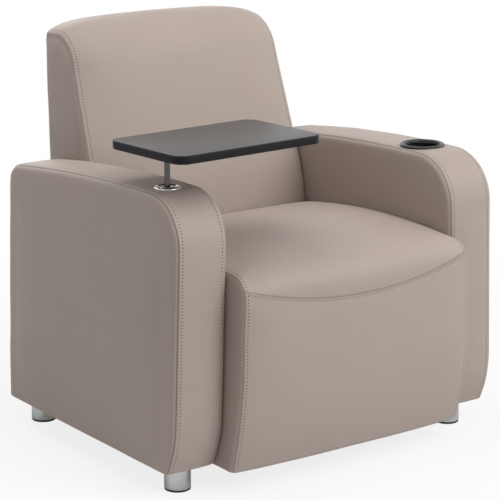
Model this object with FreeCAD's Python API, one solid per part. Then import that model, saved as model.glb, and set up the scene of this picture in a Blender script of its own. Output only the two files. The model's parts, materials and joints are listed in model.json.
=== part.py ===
import FreeCAD, Part
import math
import os

V = FreeCAD.Vector

# Upholstered tablet arm chair. Millimetres, +Z up, front towards -Y, origin on the floor under the middle.

# Overall stance: the arms, the seat and the back lean inwards a little as they rise
ARM_HALF_SPAN = 392.3
LEAN = 0.031
ARM_WIDTH = 110.5
SIDE_GAP = 1.5
COVER = 2.0
FOAM_INSET = 2.4

# Reach of the trimming shapes, well outside the chair
BELOW = 20.0
LOW = -50.0
HIGH = 900.0
FAR = 450.0
PAST = 1.0

# Arm outline, seen from the side
ARM_BOTTOM = 50.0
ARM_REAR = 313.0
ARM_REAR_RADIUS = 36.0
ARM_REAR_TOP = 543.0
ARM_CROWN = (40.0, 564.5)
ARM_TOP = 571.5
ARM_FRONT = -300.0
ARM_FRONT_RADIUS = 95.0
ARM_FRONT_STRAIGHT_END = 160.0
ARM_FRONT_CURVE = (5.8, 105.0)
ARM_TOE_SETBACK = 24.0
ARM_SEAM_ROUND = 4.0

# Arm frame: two profile boards with rails between them
PROFILE_INSET = 25.0
FOOT_GAP = 2.0
BOARD = 15.0
BOARD_INSET = 12.0
RAIL = 18.0
BOTTOM_RAIL = (-247.0, 284.0)
BOTTOM_RAIL_TOP = 92.0
FRONT_RAIL = -264.0
FRONT_RAIL_SPAN = (130.0, 470.0)
REAR_RAIL_BOTTOM = 100.0
TOP_RAIL_REAR = 262.0
TOP_RAIL = (478.0, 498.0)
BLOCK_TO_RAIL = 6.0
CUP_TO_RAIL = 8.0

# Seat
SEAT_HALF = 282.0
SEAT_BOTTOM = 45.0
SEAT_REAR = 156.0
SEAT_REAR_BOW = 17.0
SEAT_REAR_TOP = 408.0
SEAT_MID = (-110.0, 430.0)
SEAT_FRONT_TOP = 421.0
SEAT_FRONT = -355.0
SEAT_FRONT_BOW = 10.0
SEAT_FRONT_RADIUS = 42.0
SEAT_CROWN = 18.0
SEAT_EDGE_CROWN = 8.0
SEAT_FRONT_STRAIGHT_END = 300.0
SEAT_FRONT_CURVE = (7.0, 150.0)
SEAT_TOE_SETBACK = 33.0
SEAM_GROOVE = 1.2
SEAM_SIDE_HEIGHT = 402.0
SEAM_MID_HEIGHT = 358.0
SEAM_BLADE = 60.0
SEAT_STATIONS = (-1.0, -0.5, 0.0, 0.5, 1.0)

# Back
BACK_HALF = 257.0
BACK_LUMBAR = (157.0, 455.0)
BACK_CROWN = 18.0
BACK_SIDE_TOP = 790.0
BACK_RISE = 39.0
BACK_ARCH = 5
BACK_ROUND_START = (250.0, 72.0)
BACK_ROUND_MID = (275.0, 24.0)
BACK_ROUND_END = 318.0
ROUND_START_CROWN = 0.6
ROUND_MID_CROWN = 0.3
ROUND_MID_INSET = 0.7
BACK_REAR_TOP = 366.0
BACK_REAR_DROP = 4.0
BACK_REAR_BOTTOM = 312.0
BACK_STATIONS = (0.0, 70.0, 130.0, 180.0, 215.0, 238.0, 250.0, 257.0, 282.0)

# Seat frame
SEAT_RAIL_OUT = 260.0
SEAT_RAIL = 22.0
SEAT_RAIL_BOTTOM = 60.0
SEAT_RAIL_TOP = 280.0
SEAT_FRAME_FRONT = -318.0
SEAT_FRAME_REAR = 128.0
FOAM_BOTTOM = 296.0
FOAM_ROOM = 2.0
APRON_BOTTOM = 90.0
CORNER_BLOCK = 60.0
CORNER_BLOCK_SPAN = (70.0, 130.0)
DECK_PAD = (288.0, 295.0)
DECK_PAD_HALF = 255.0
DECK_PAD_MARGIN = 4.0
DUST_COVER = 1.0
DUST_COVER_MARGIN = 4.0

# Springs
SPRING_X = (-180.0, -90.0, 0.0, 90.0, 180.0)
SPRING_WIRE = 1.9
SPRING_HALF_WIDTH = 20.0
SPRING_PITCH = 30.0
SPRING_RUNS = 15
SPRING_FIRST = -305.0
SPRING_Z = 283.1
CLIP_HALF = 12.0
CLIP_PLATE = 1.0
CLIP_LENGTH = 14.0
CLIP_BEHIND = 7.0
CLIP_ROOM = 0.2
CLIP_MOUTH = 5.0

# Back frame
POST_OUT = 235.0
POST_WIDTH = 30.0
POST_FOOT = (225.0, 62.0)
POST_HEAD = (310.0, 765.0)
REAR_BOARD = (2.6, 5.6)
BACK_RAILS = ((66.0, 104.0), (440.0, 480.0), (725.0, 762.0))
BACK_RAIL_SETBACK = 8.0
BACK_FOAM_BOTTOM = 200.0
BACK_FOAM_ROOM = 3.0
BACK_FOAM_OVER_POSTS = 5.0
STRAP_HEIGHTS = (290.0, 400.0, 510.0, 620.0)
STRAP_WIDTH = 50.0
STRAP_THICK = 2.0

# Legs
LEG_X = 336.0
LEG_FRONT = -231.0
LEG_REAR = 269.0
LEG_RADIUS = 25.4
LEG_WALL = 1.5
LEG_PLATE = 4.0
GLIDE = 4.0
GLIDE_CHAMFER = 1.0
SPIGOT = 10.0
SPIGOT_FIT = 0.1
SPIGOT_WALL = 3.0
SPIGOT_FLOOR = 1.0
SPIGOT_ROOT = 0.5
STUD_RADIUS = 4.0
STUD_HOLE = 4.3
STUD_NUT_RADIUS = 7.0
STUD_NUT = 6.0
STUD_BELOW_PLATE = 8.0
STUD_PROUD = 3.0

# Arm bolts, (y, z) of each
SEAT_BOLTS = ((-200.0, 170.0), (40.0, 170.0))
BACK_BOLTS = ((256.0, 120.0), (256.0, 230.0))
BOLT_HEAD_RADIUS = 8.0
BOLT_HEAD = 5.0
TEE_NUT_RADIUS = 10.0
TEE_NUT = 1.5
TEE_NUT_FIT = 0.1
BOLT_PROUD = 2.0
BOLT_HEAD_GAP = 0.4

# Tablet post, socket and flange
POST_X = -326.0
POST_Y = -191.0
ROD_RADIUS = 5.5
ROD_FIT = 0.05
SOCKET_RADIUS = 10.0
SOCKET_BORE = 7.5
SOCKET_FOOT = 420.0
SOCKET_TOP = 573.5
SOCKET_FLOOR = 5.0
SOCKET_FIT = 0.1
SOCKET_ROOM = 2.0
LOWER_BUSH = (12.0, 32.0)
UPPER_BUSH = 20.0
PAD_THICK = 4.0
PAD_GAP = 0.3
POST_CHAMFER = 0.8
BLOCK = (400.0, 510.0)
BLOCK_HALF_LENGTH = 55.0
PLATE_HALF = (22.0, 45.0)
PLATE_THICK = 4.0
PLATE_EDGE = (7.0, 8.0)
SCREW_RADIUS = 2.3
SCREW_FIT = 0.1
SCREW_TIP = 477.0
FLANGE_RADIUS = 25.0
FLANGE_SEAT = 571.8
FLANGE_FIT = 0.3
FLANGE_RIM = 1.0
FLANGE_HEIGHT = 3.2
FLANGE_CREST = (4.0, 7.0)
FLANGE_DISH = 1.5
FLANGE_COLLAR = 3.0

# Tablet
TABLET_TURN = 3.7
TABLET_INNER_END = -55.0
TABLET_OUTER_END = 287.0
TABLET_HALF_WIDTH = 110.0
TABLET_CORNER = 25.0
TABLET_TOP = 653.0
TABLET_THICK = 16.0
LAMINATE = 1.0
EDGE_BAND = 2.5
HUB_RADIUS = 42.0
HUB_THICK = 4.0
HUB_SCREW = 14.0
HUB_SCREW_INSET = 12.0
HUB_SCREW_HEAD = 2.0

# Cup holder
CUP_X = 317.0
CUP_Y = -159.0
CUP_BORE = 35.5
CUP_WALL = 2.5
CUP_RIM = 45.5
CUP_FLOOR = (498.5, 501.5)
CUP_SEAT = 571.8
CUP_RIM_HEIGHT = 6.2
CUP_RIM_SIDE = 2.0
CUP_FIT = 0.5
CUP_BOARD_ROOM = 2.0
CUP_ROOM_BELOW = 4.0


def box(x0, x1, y0, y1, z0, z1):
    """A block between two corners."""
    return Part.makeBox(x1 - x0, y1 - y0, z1 - z0, V(x0, y0, z0))


def upright(radius, z0, z1, x, y):
    """A round bar standing at (x, y)."""
    return Part.makeCylinder(radius, z1 - z0, V(x, y, z0))


def cross_bar(radius, x0, x1, y, z):
    """A round bar lying along X."""
    return Part.makeCylinder(radius, x1 - x0, V(x0, y, z), V(1, 0, 0))


def mirrored(shape):
    """The same piece on the other side of the chair."""
    return shape.mirror(V(0, 0, 0), V(1, 0, 0))


def both(shape):
    """A right-hand piece and its left-hand twin."""
    return [mirrored(shape), shape]


def save(node, *solids):
    """Writes one node, a single solid or a group of separate ones."""
    shape = solids[0] if len(solids) == 1 else Part.makeCompound(list(solids))
    shape.exportStep(os.path.join("parts", node + ".step"))


def outline(x, start, steps):
    """A closed outline at one x: a step is an end point, or a through point and an end point of an arc."""
    first = V(x, *start)
    here = first
    edges = []
    for step in steps:
        end = V(x, *step[-1])
        if len(step) == 2:
            edges.append(Part.Arc(here, V(x, *step[0]), end).toShape())
        else:
            edges.append(Part.LineSegment(here, end).toShape())
        here = end
    edges.append(Part.LineSegment(here, first).toShape())
    return Part.Wire(edges)


def slab_yz(points, x0, x1):
    """A straight-sided (y, z) outline, drawn out from x0 to x1."""
    wire = Part.makePolygon([V(x0, y, z) for y, z in points + points[:1]])
    return Part.Face(wire).extrude(V(x1 - x0, 0, 0))


def slab_xz(points, y0, y1):
    """A straight-sided (x, z) outline, drawn out from y0 to y1."""
    wire = Part.makePolygon([V(x, y0, z) for x, z in points + points[:1]])
    return Part.Face(wire).extrude(V(0, y1 - y0, 0))


def turned(edges, x, y):
    """A piece turned about the upright line at (x, y) from edges drawn in the XZ plane."""
    solid = Part.Face(Part.Wire(edges)).revolve(V(0, 0, 0), V(0, 0, 1), 360)
    solid.translate(V(x, y, 0))
    return solid


def turned_lines(points, x, y):
    """A turned piece whose outline is straight (radius, z) runs."""
    ring = [V(r, 0, z) for r, z in points + points[:1]]
    edges = [Part.LineSegment(a, b).toShape() for a, b in zip(ring, ring[1:])]
    return turned(edges, x, y)


def arm_side(z, depth):
    """The x of the right arm at a height, measured in from its outer face."""
    return ARM_HALF_SPAN - LEAN * z - depth


def arm_slice(depth_out, depth_in):
    """A leaning slice of the right arm between two depths from its outer face."""
    points = [
        (arm_side(LOW, depth_out), LOW),
        (arm_side(HIGH, depth_out), HIGH),
        (arm_side(HIGH, depth_in), HIGH),
        (arm_side(LOW, depth_in), LOW),
    ]
    return slab_xz(points, -FAR, FAR)


def arm_outline(inset, bottom):
    """The arm seen from the side, drawn in by an inset all round except at its foot."""
    slant = math.sqrt(0.5)
    rear_round = ARM_REAR_RADIUS - inset
    rear_y = ARM_REAR - ARM_REAR_RADIUS
    rear_z = ARM_REAR_TOP - ARM_REAR_RADIUS
    front_round = ARM_FRONT_RADIUS - inset
    front_y = ARM_FRONT + ARM_FRONT_RADIUS
    front_z = ARM_TOP - ARM_FRONT_RADIUS
    face = ARM_FRONT + inset
    steps = [
        ((ARM_REAR - inset, rear_z),),
        ((rear_y + rear_round * slant, rear_z + rear_round * slant), (rear_y, ARM_REAR_TOP - inset)),
        ((ARM_CROWN[0], ARM_CROWN[1] - inset), (front_y, ARM_TOP - inset)),
        ((front_y - front_round * slant, front_z + front_round * slant), (face, front_z)),
        ((face, ARM_FRONT_STRAIGHT_END),),
        ((face + ARM_FRONT_CURVE[0], ARM_FRONT_CURVE[1]), (face + ARM_TOE_SETBACK, ARM_BOTTOM)),
    ]
    if bottom < ARM_BOTTOM:
        steps.append(((face + ARM_TOE_SETBACK, bottom),))
    return outline(0.0, (ARM_REAR - inset, bottom), steps)


def arm_block(inset, bottom, depth_out, depth_in):
    """A slice of the right arm's full shape."""
    profile = Part.Face(arm_outline(inset, bottom)).extrude(V(FAR, 0, 0))
    return profile.common(arm_slice(depth_out, depth_in))


def arm_rail(y0, y1, z0, z1):
    """A rail between the right arm's two profile boards."""
    depth = BOARD_INSET + BOARD
    return box(0.0, FAR, y0, y1, z0, z1).common(arm_slice(depth, ARM_WIDTH - depth))


def bolt_holes():
    """The holes that the right-hand arm bolts pass through."""
    inner, outer = POST_OUT - POST_WIDTH - PAST, arm_side(0.0, ARM_WIDTH / 2.0)
    holes = [cross_bar(STUD_HOLE, inner, outer, y, z) for y, z in SEAT_BOLTS + BACK_BOLTS]
    return Part.makeCompound(holes)


def stud_holes():
    """The holes for the right-hand leg studs."""
    holes = [upright(STUD_HOLE, 0.0, BOTTOM_RAIL_TOP + PAST, LEG_X, y) for y in (LEG_FRONT, LEG_REAR)]
    return Part.makeCompound(holes)


def rounded_seams(solid):
    """Eases the long sewn edges of an arm."""
    edges = []
    for face in solid.Faces:
        normal = face.normalAt(0, 0)
        if abs(normal.x) > 0.9:
            edges += [edge for edge in face.Edges if edge.BoundBox.ZMax > ARM_BOTTOM + PAST]
    return solid.makeFillet(ARM_SEAM_ROUND, edges)


def arm_cover():
    """The sewn cover of the right arm, open underneath."""
    skin = rounded_seams(arm_block(0.0, ARM_BOTTOM, 0.0, ARM_WIDTH))
    inside = arm_block(COVER, ARM_BOTTOM - BELOW, COVER, ARM_WIDTH - COVER)
    return skin.cut(inside).cut(bolt_holes())


def arm_foam():
    """The foam wrapped round the right arm's frame."""
    outside = arm_block(FOAM_INSET, ARM_BOTTOM + FOOT_GAP, FOAM_INSET, ARM_WIDTH - FOAM_INSET)
    inside = arm_block(PROFILE_INSET, ARM_BOTTOM - BELOW, BOARD_INSET, ARM_WIDTH - BOARD_INSET)
    return outside.cut(inside).cut(bolt_holes())


def arm_boards():
    """The outer and inner profile boards of the right arm."""
    depth = BOARD_INSET + BOARD
    outer = arm_block(PROFILE_INSET, ARM_BOTTOM + FOOT_GAP, BOARD_INSET, depth)
    inner = arm_block(PROFILE_INSET, ARM_BOTTOM + FOOT_GAP, ARM_WIDTH - depth, ARM_WIDTH - BOARD_INSET)
    return [outer, inner.cut(bolt_holes())]


def arm_rails(top_start):
    """The rails of the right arm: bottom, front, rear and top, the last from where the fitting ends."""
    bottom = arm_rail(*BOTTOM_RAIL, ARM_BOTTOM, BOTTOM_RAIL_TOP).cut(stud_holes())
    front = arm_rail(FRONT_RAIL, FRONT_RAIL + RAIL, *FRONT_RAIL_SPAN)
    rear = arm_rail(BOTTOM_RAIL[1] - RAIL, BOTTOM_RAIL[1], REAR_RAIL_BOTTOM, TOP_RAIL[0])
    top = arm_rail(top_start, TOP_RAIL_REAR, *TOP_RAIL)
    return [bottom, front, rear, top]


def side_wedge(depth):
    """The leaning space between the arms, drawn in by a depth on both sides."""
    x_low, x_high = arm_side(LOW, depth), arm_side(HIGH, depth)
    points = [(-x_low, LOW), (x_low, LOW), (x_high, HIGH), (-x_high, HIGH)]
    return slab_xz(points, -FAR, FAR)


def seat_section(x, inset, bottom):
    """The seat cut at one x: the crown, the waterfall front and the front that draws in to its foot."""
    slant = math.sqrt(0.5)
    crown = 1.0 - (x / SEAT_HALF) ** 2
    rear = SEAT_REAR - SEAT_REAR_BOW * crown - inset
    rear_top = SEAT_REAR_TOP + SEAT_EDGE_CROWN * crown - inset
    middle = (SEAT_MID[0], SEAT_MID[1] + SEAT_CROWN * crown - inset)
    front_top = SEAT_FRONT_TOP + SEAT_EDGE_CROWN * crown - inset
    face = SEAT_FRONT - SEAT_FRONT_BOW * crown + inset
    bend = (face + SEAT_FRONT_RADIUS, front_top - SEAT_FRONT_RADIUS)
    reach = SEAT_FRONT_RADIUS * slant
    steps = [
        ((rear, rear_top),),
        (middle, (bend[0], front_top)),
        ((bend[0] - reach, bend[1] + reach), (face, bend[1])),
        ((face, SEAT_FRONT_STRAIGHT_END),),
        ((face + SEAT_FRONT_CURVE[0], SEAT_FRONT_CURVE[1]), (face + SEAT_TOE_SETBACK, SEAT_BOTTOM)),
    ]
    if bottom < SEAT_BOTTOM:
        steps.append(((face + SEAT_TOE_SETBACK, bottom),))
    return outline(x, (rear, bottom), steps)


def seat_block(inset, bottom):
    """The whole seat, crowned from side to side and cut to the space between the arms."""
    stations = [SEAT_HALF * part for part in SEAT_STATIONS]
    loft = Part.makeLoft([seat_section(x, inset, bottom) for x in stations], True, False)
    return loft.common(side_wedge(ARM_WIDTH + SIDE_GAP + inset))


def both_bolt_holes():
    """The bolt holes of both arms."""
    holes = bolt_holes()
    return Part.makeCompound([holes, mirrored(holes)])


def seat_seam():
    """A thin blade that presses the curved seam into the front of the seat."""
    half = SEAT_HALF
    far = SEAT_FRONT - SEAT_FRONT_BOW
    ends = [V(-half, 0, SEAM_SIDE_HEIGHT), V(0, 0, SEAM_MID_HEIGHT), V(half, 0, SEAM_SIDE_HEIGHT)]
    lower = Part.Arc(*ends).toShape()
    upper = Part.Arc(*[point + V(0, 0, SEAM_GROOVE) for point in ends]).toShape()
    sides = [Part.LineSegment(ends[i], ends[i] + V(0, 0, SEAM_GROOVE)).toShape() for i in (0, 2)]
    blade = Part.Face(Part.Wire([lower, sides[1], upper, sides[0]])).extrude(V(0, SEAM_BLADE, 0))
    blade.translate(V(0, far - SEAM_BLADE / 2.0, 0))
    return blade.cut(seat_block(SEAM_GROOVE, SEAT_BOTTOM - BELOW))


def seat_cover():
    """The seat's sewn cover, open underneath, with its curved front seam."""
    skin = seat_block(0.0, SEAT_BOTTOM).cut(seat_block(COVER, SEAT_BOTTOM - BELOW))
    return skin.cut(both_bolt_holes()).cut(seat_seam())


def seat_foam():
    """The seat foam: a crowned slab on the springs with a front apron."""
    hollow = box(-FAR, FAR, SEAT_FRAME_FRONT - FOAM_ROOM, FAR, 0.0, FOAM_BOTTOM)
    below = box(-FAR, FAR, -FAR, FAR, 0.0, APRON_BOTTOM)
    return seat_block(FOAM_INSET, SEAT_BOTTOM - BELOW).cut(hollow).cut(below)


def seat_rails():
    """The front, rear and two side rails of the seat box."""
    inner = SEAT_RAIL_OUT - SEAT_RAIL
    front_y, rear_y = SEAT_FRAME_FRONT, SEAT_FRAME_REAR
    side = box(inner, SEAT_RAIL_OUT, front_y, rear_y, SEAT_RAIL_BOTTOM, SEAT_RAIL_TOP).cut(bolt_holes())
    front = box(-inner, inner, front_y, front_y + SEAT_RAIL, SEAT_RAIL_BOTTOM, SEAT_RAIL_TOP)
    rear = box(-inner, inner, rear_y - SEAT_RAIL, rear_y, SEAT_RAIL_BOTTOM, SEAT_RAIL_TOP)
    return front, rear, both(side)


def corner_blocks():
    """Four glued three-sided blocks inside the seat box."""
    inner = SEAT_RAIL_OUT - SEAT_RAIL
    size = CORNER_BLOCK
    low, high = CORNER_BLOCK_SPAN
    blocks = []
    for y, way in ((SEAT_FRAME_FRONT + SEAT_RAIL, 1.0), (SEAT_FRAME_REAR - SEAT_RAIL, -1.0)):
        corners = [V(inner, y, low), V(inner - size, y, low), V(inner, y + way * size, low), V(inner, y, low)]
        blocks += both(Part.Face(Part.makePolygon(corners)).extrude(V(0, 0, high - low)))
    return blocks


def seat_spring(x):
    """One zigzag spring: cross runs joined by half turns, one unbroken wire."""
    edges = []
    bend = SPRING_PITCH / 2.0
    side = 1.0
    for run in range(SPRING_RUNS):
        y = SPRING_FIRST + run * SPRING_PITCH
        start = V(x - side * SPRING_HALF_WIDTH, y, SPRING_Z)
        end = V(x + side * SPRING_HALF_WIDTH, y, SPRING_Z)
        edges.append(Part.LineSegment(start, end).toShape())
        if run < SPRING_RUNS - 1:
            crest = V(x + side * (SPRING_HALF_WIDTH + bend), y + bend, SPRING_Z)
            edges.append(Part.Arc(end, crest, end + V(0, SPRING_PITCH, 0)).toShape())
        side = -side
    ring = Part.Circle(V(x - SPRING_HALF_WIDTH, SPRING_FIRST, SPRING_Z), V(1, 0, 0), SPRING_WIRE).toShape()
    return Part.Wire(edges).makePipeShell([Part.Wire([ring])], True, False)


def spring_clips():
    """The bent clips that hold both ends of every spring on the rails."""
    half, plate = CLIP_HALF, CLIP_PLATE
    slot_top = SPRING_Z + SPRING_WIRE + CLIP_ROOM
    last = SPRING_FIRST + (SPRING_RUNS - 1) * SPRING_PITCH
    clips = []
    for x in SPRING_X:
        for y, way in ((SPRING_FIRST, 1.0), (last, -1.0)):
            back = y - way * CLIP_BEHIND
            ends = sorted((back, back + way * CLIP_LENGTH))
            slot = sorted((back + way * plate, back + way * (CLIP_LENGTH + CLIP_MOUTH)))
            body = box(x - half, x + half, *ends, SEAT_RAIL_TOP, slot_top + plate)
            mouth = box(x - half - PAST, x + half + PAST, *slot, SEAT_RAIL_TOP + plate, slot_top)
            clips.append(body.cut(mouth))
    return clips


def deck_pad():
    """The felt pad between the springs and the foam."""
    front, rear = SEAT_FRAME_FRONT + DECK_PAD_MARGIN, SEAT_FRAME_REAR - DECK_PAD_MARGIN
    return box(-DECK_PAD_HALF, DECK_PAD_HALF, front, rear, *DECK_PAD)


def dust_cover():
    """The black cloth under the seat and the back."""
    edge = arm_side(SEAT_BOTTOM, ARM_WIDTH + SIDE_GAP) - DUST_COVER_MARGIN
    front, rear = SEAT_FRONT + SEAT_TOE_SETBACK, BACK_REAR_BOTTOM - DUST_COVER_MARGIN
    return box(-edge, edge, front, rear, SEAT_BOTTOM - DUST_COVER, SEAT_BOTTOM)


def back_section(x, inset, bottom):
    """The back cut at one x: upright at the waist, reclined above it and rounded over the top."""
    crown = BACK_CROWN * (1.0 - (x / SEAT_HALF) ** 2)
    share = max(0.0, 1.0 - abs(x / BACK_HALF) ** BACK_ARCH)
    top = BACK_SIDE_TOP + BACK_RISE * math.sqrt(share)
    waist = BACK_LUMBAR[0] - crown + inset
    start = (BACK_ROUND_START[0] - ROUND_START_CROWN * crown + inset, top - BACK_ROUND_START[1])
    drawn_in = ROUND_MID_INSET * inset
    middle = (BACK_ROUND_MID[0] - ROUND_MID_CROWN * crown + drawn_in, top - BACK_ROUND_MID[1] - drawn_in)
    steps = [
        ((waist, BACK_LUMBAR[1]),),
        (start,),
        (middle, (BACK_ROUND_END, top - inset)),
        ((BACK_REAR_TOP - inset, top - BACK_REAR_DROP - inset),),
        ((BACK_REAR_BOTTOM - inset, bottom),),
    ]
    return outline(x, (waist, bottom), steps)


def back_block(inset, bottom):
    """The whole back, crowned across its front and arched along its top."""
    stations = [-x for x in reversed(BACK_STATIONS[1:])] + list(BACK_STATIONS)
    loft = Part.makeLoft([back_section(x, inset, bottom) for x in stations], True, True)
    return loft.common(side_wedge(ARM_WIDTH + SIDE_GAP + inset))


def back_cover():
    """The back's sewn cover, open underneath."""
    skin = back_block(0.0, SEAT_BOTTOM).cut(back_block(COVER, SEAT_BOTTOM - BELOW))
    return skin.cut(both_bolt_holes())


def post_front(z):
    """The y of the back posts' front edge at a height."""
    share = (z - POST_FOOT[1]) / (POST_HEAD[1] - POST_FOOT[1])
    return POST_FOOT[0] + share * (POST_HEAD[0] - POST_FOOT[0])


def rear_face(z, inset):
    """The y of the back's rear face at a height, drawn in by an inset."""
    rise = BACK_SIDE_TOP + BACK_RISE - BACK_REAR_DROP - SEAT_BOTTOM
    return BACK_REAR_BOTTOM + (BACK_REAR_TOP - BACK_REAR_BOTTOM) * (z - SEAT_BOTTOM) / rise - inset


def back_foam():
    """The foam in front of the straps and over the top of the back."""
    low, high = 0.0, POST_HEAD[1] + BACK_FOAM_OVER_POSTS
    room_low, room_high = post_front(low) - BACK_FOAM_ROOM, post_front(high) - BACK_FOAM_ROOM
    behind = [(room_low, low), (FAR, low), (FAR, high), (room_high, high)]
    block = back_block(FOAM_INSET, SEAT_BOTTOM - BELOW).cut(slab_yz(behind, -FAR, FAR))
    return block.cut(box(-FAR, FAR, 0.0, FAR, 0.0, BACK_FOAM_BOTTOM))


def back_posts():
    """The two leaning posts of the back frame."""
    low, high = POST_FOOT[1], POST_HEAD[1]
    rear = REAR_BOARD[1]
    points = [POST_FOOT, (rear_face(low, rear), low), (rear_face(high, rear), high), POST_HEAD]
    post = slab_yz(points, POST_OUT - POST_WIDTH, POST_OUT).cut(bolt_holes())
    return both(post)


def back_rails():
    """The top, middle and bottom rails between the back posts."""
    inner = POST_OUT - POST_WIDTH
    rails = []
    for low, high in BACK_RAILS:
        front = post_front(high) + BACK_RAIL_SETBACK
        rails.append(box(-inner, inner, front, front + SEAT_RAIL, low, high))
    return rails


def rear_board():
    """The hardboard sheet behind the back posts."""
    low, high = POST_FOOT[1], POST_HEAD[1]
    outer, inner = REAR_BOARD
    points = [
        (rear_face(low, inner), low),
        (rear_face(low, outer), low),
        (rear_face(high, outer), high),
        (rear_face(high, inner), high),
    ]
    return slab_yz(points, -POST_OUT, POST_OUT)


def back_straps():
    """Four elastic straps across the front of the back posts."""
    tilt = math.degrees(math.atan2(POST_HEAD[0] - POST_FOOT[0], POST_HEAD[1] - POST_FOOT[1]))
    straps = []
    for z in STRAP_HEIGHTS:
        strap = box(-POST_OUT, POST_OUT, -STRAP_THICK, 0.0, 0.0, STRAP_WIDTH)
        strap.rotate(V(0, 0, 0), V(1, 0, 0), -tilt)
        strap.translate(V(0, post_front(z), z))
        straps.append(strap)
    return straps


def leg(x, y):
    """One round leg: a tube with a plate across its top."""
    tube = upright(LEG_RADIUS, GLIDE, ARM_BOTTOM, x, y)
    bore = upright(LEG_RADIUS - LEG_WALL, GLIDE - PAST, ARM_BOTTOM - LEG_PLATE, x, y)
    return tube.cut(bore).cut(upright(STUD_HOLE, LOW, HIGH, x, y))


def glide(x, y):
    """One black foot plug, its spigot inside the leg tube."""
    foot = upright(LEG_RADIUS, 0.0, GLIDE, x, y)
    foot = foot.makeChamfer(GLIDE_CHAMFER, [edge for edge in foot.Edges if edge.BoundBox.ZMax < 0.1])
    bore = LEG_RADIUS - LEG_WALL
    spigot = upright(bore - SPIGOT_FIT, GLIDE - SPIGOT_ROOT, GLIDE + SPIGOT, x, y)
    hollow = upright(bore - SPIGOT_WALL, GLIDE + SPIGOT_FLOOR, GLIDE + SPIGOT + PAST, x, y)
    return foot.fuse(spigot).cut(hollow).removeSplitter()


def leg_places():
    """The name and place of every leg."""
    places = []
    for end, y in (("front", LEG_FRONT), ("rear", LEG_REAR)):
        for side, x in (("left", -LEG_X), ("right", LEG_X)):
            places.append((end + "_" + side, x, y))
    return places


def leg_studs():
    """The threaded studs that hold the legs, each with its nut inside the leg."""
    studs = []
    for _, x, y in leg_places():
        nut_top = ARM_BOTTOM - LEG_PLATE
        nut = upright(STUD_NUT_RADIUS, nut_top - STUD_NUT, nut_top, x, y)
        low, high = nut_top - STUD_BELOW_PLATE, BOTTOM_RAIL_TOP + STUD_PROUD
        studs.append(upright(STUD_RADIUS, low, high, x, y).fuse(nut))
    return studs


def leg_tee_nuts():
    """The tee nuts on top of the arms' bottom rails."""
    nuts = []
    for _, x, y in leg_places():
        plate = upright(TEE_NUT_RADIUS, BOTTOM_RAIL_TOP, BOTTOM_RAIL_TOP + TEE_NUT, x, y)
        nuts.append(plate.cut(upright(STUD_RADIUS + TEE_NUT_FIT, LOW, HIGH, x, y)))
    return nuts


def bolt_ends(y, z):
    """The x of a bolt's nut face and of its head, for the right-hand arm."""
    rail = SEAT_RAIL_OUT - SEAT_RAIL if (y, z) in SEAT_BOLTS else POST_OUT - POST_WIDTH
    head = arm_side(z, ARM_WIDTH - BOARD_INSET - BOARD) + BOLT_HEAD_GAP
    return rail, head


def arm_bolts():
    """The bolts that hold the arms to the seat box and to the back posts."""
    bolts = []
    for y, z in SEAT_BOLTS + BACK_BOLTS:
        rail, head = bolt_ends(y, z)
        shank = cross_bar(STUD_RADIUS, rail - TEE_NUT - BOLT_PROUD, head, y, z)
        bolts += both(shank.fuse(cross_bar(BOLT_HEAD_RADIUS, head, head + BOLT_HEAD, y, z)))
    return bolts


def arm_tee_nuts():
    """The tee nuts that the arm bolts screw into."""
    nuts = []
    for y, z in SEAT_BOLTS + BACK_BOLTS:
        rail, _ = bolt_ends(y, z)
        plate = cross_bar(TEE_NUT_RADIUS, rail - TEE_NUT, rail, y, z)
        nuts += both(plate.cut(cross_bar(STUD_RADIUS + TEE_NUT_FIT, 0.0, FAR, y, z)))
    return nuts


def post_block():
    """The hardwood block in the left arm that the post socket is let into."""
    block = mirrored(arm_rail(POST_Y - BLOCK_HALF_LENGTH, POST_Y + BLOCK_HALF_LENGTH, *BLOCK))
    block = block.cut(upright(SOCKET_RADIUS + SOCKET_FIT, LOW, HIGH, POST_X, POST_Y))
    return block.cut(socket_screw_shanks())


def socket_screw_places():
    """The corners of the socket's plate where its screws go."""
    reach_x, reach_y = PLATE_HALF[0] - PLATE_EDGE[0], PLATE_HALF[1] - PLATE_EDGE[1]
    return [(POST_X + i * reach_x, POST_Y + j * reach_y) for i in (-1, 1) for j in (-1, 1)]


def socket_screw_shanks():
    """The room that the socket screws' shanks take."""
    low, high = SCREW_TIP - PAST, BLOCK[1] + PLATE_THICK + PAST
    radius = SCREW_RADIUS + SCREW_FIT
    return Part.makeCompound([upright(radius, low, high, x, y) for x, y in socket_screw_places()])


def socket_screws():
    """Four screws that hold the socket's plate to the block."""
    screws = []
    top = BLOCK[1] + PLATE_THICK
    for x, y in socket_screw_places():
        head = upright(2.0 * SCREW_RADIUS, top, top + SCREW_RADIUS, x, y)
        screws.append(upright(SCREW_RADIUS, SCREW_TIP, top, x, y).fuse(head))
    return screws


def post_socket():
    """The steel socket: a closed tube through a screwed plate."""
    tube = upright(SOCKET_RADIUS, SOCKET_FOOT, SOCKET_TOP, POST_X, POST_Y)
    half_x, half_y = PLATE_HALF
    low, high = BLOCK[1], BLOCK[1] + PLATE_THICK
    plate = box(POST_X - half_x, POST_X + half_x, POST_Y - half_y, POST_Y + half_y, low, high)
    bore = upright(SOCKET_BORE, SOCKET_FOOT + SOCKET_FLOOR, SOCKET_TOP + PAST, POST_X, POST_Y)
    return tube.fuse(plate).cut(bore).cut(socket_screw_shanks()).removeSplitter()


def bush(low, high):
    """A plain bush in the socket that the post turns in."""
    outside = upright(SOCKET_BORE, low, high, POST_X, POST_Y)
    return outside.cut(upright(ROD_RADIUS + ROD_FIT, low - PAST, high + PAST, POST_X, POST_Y))


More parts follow.
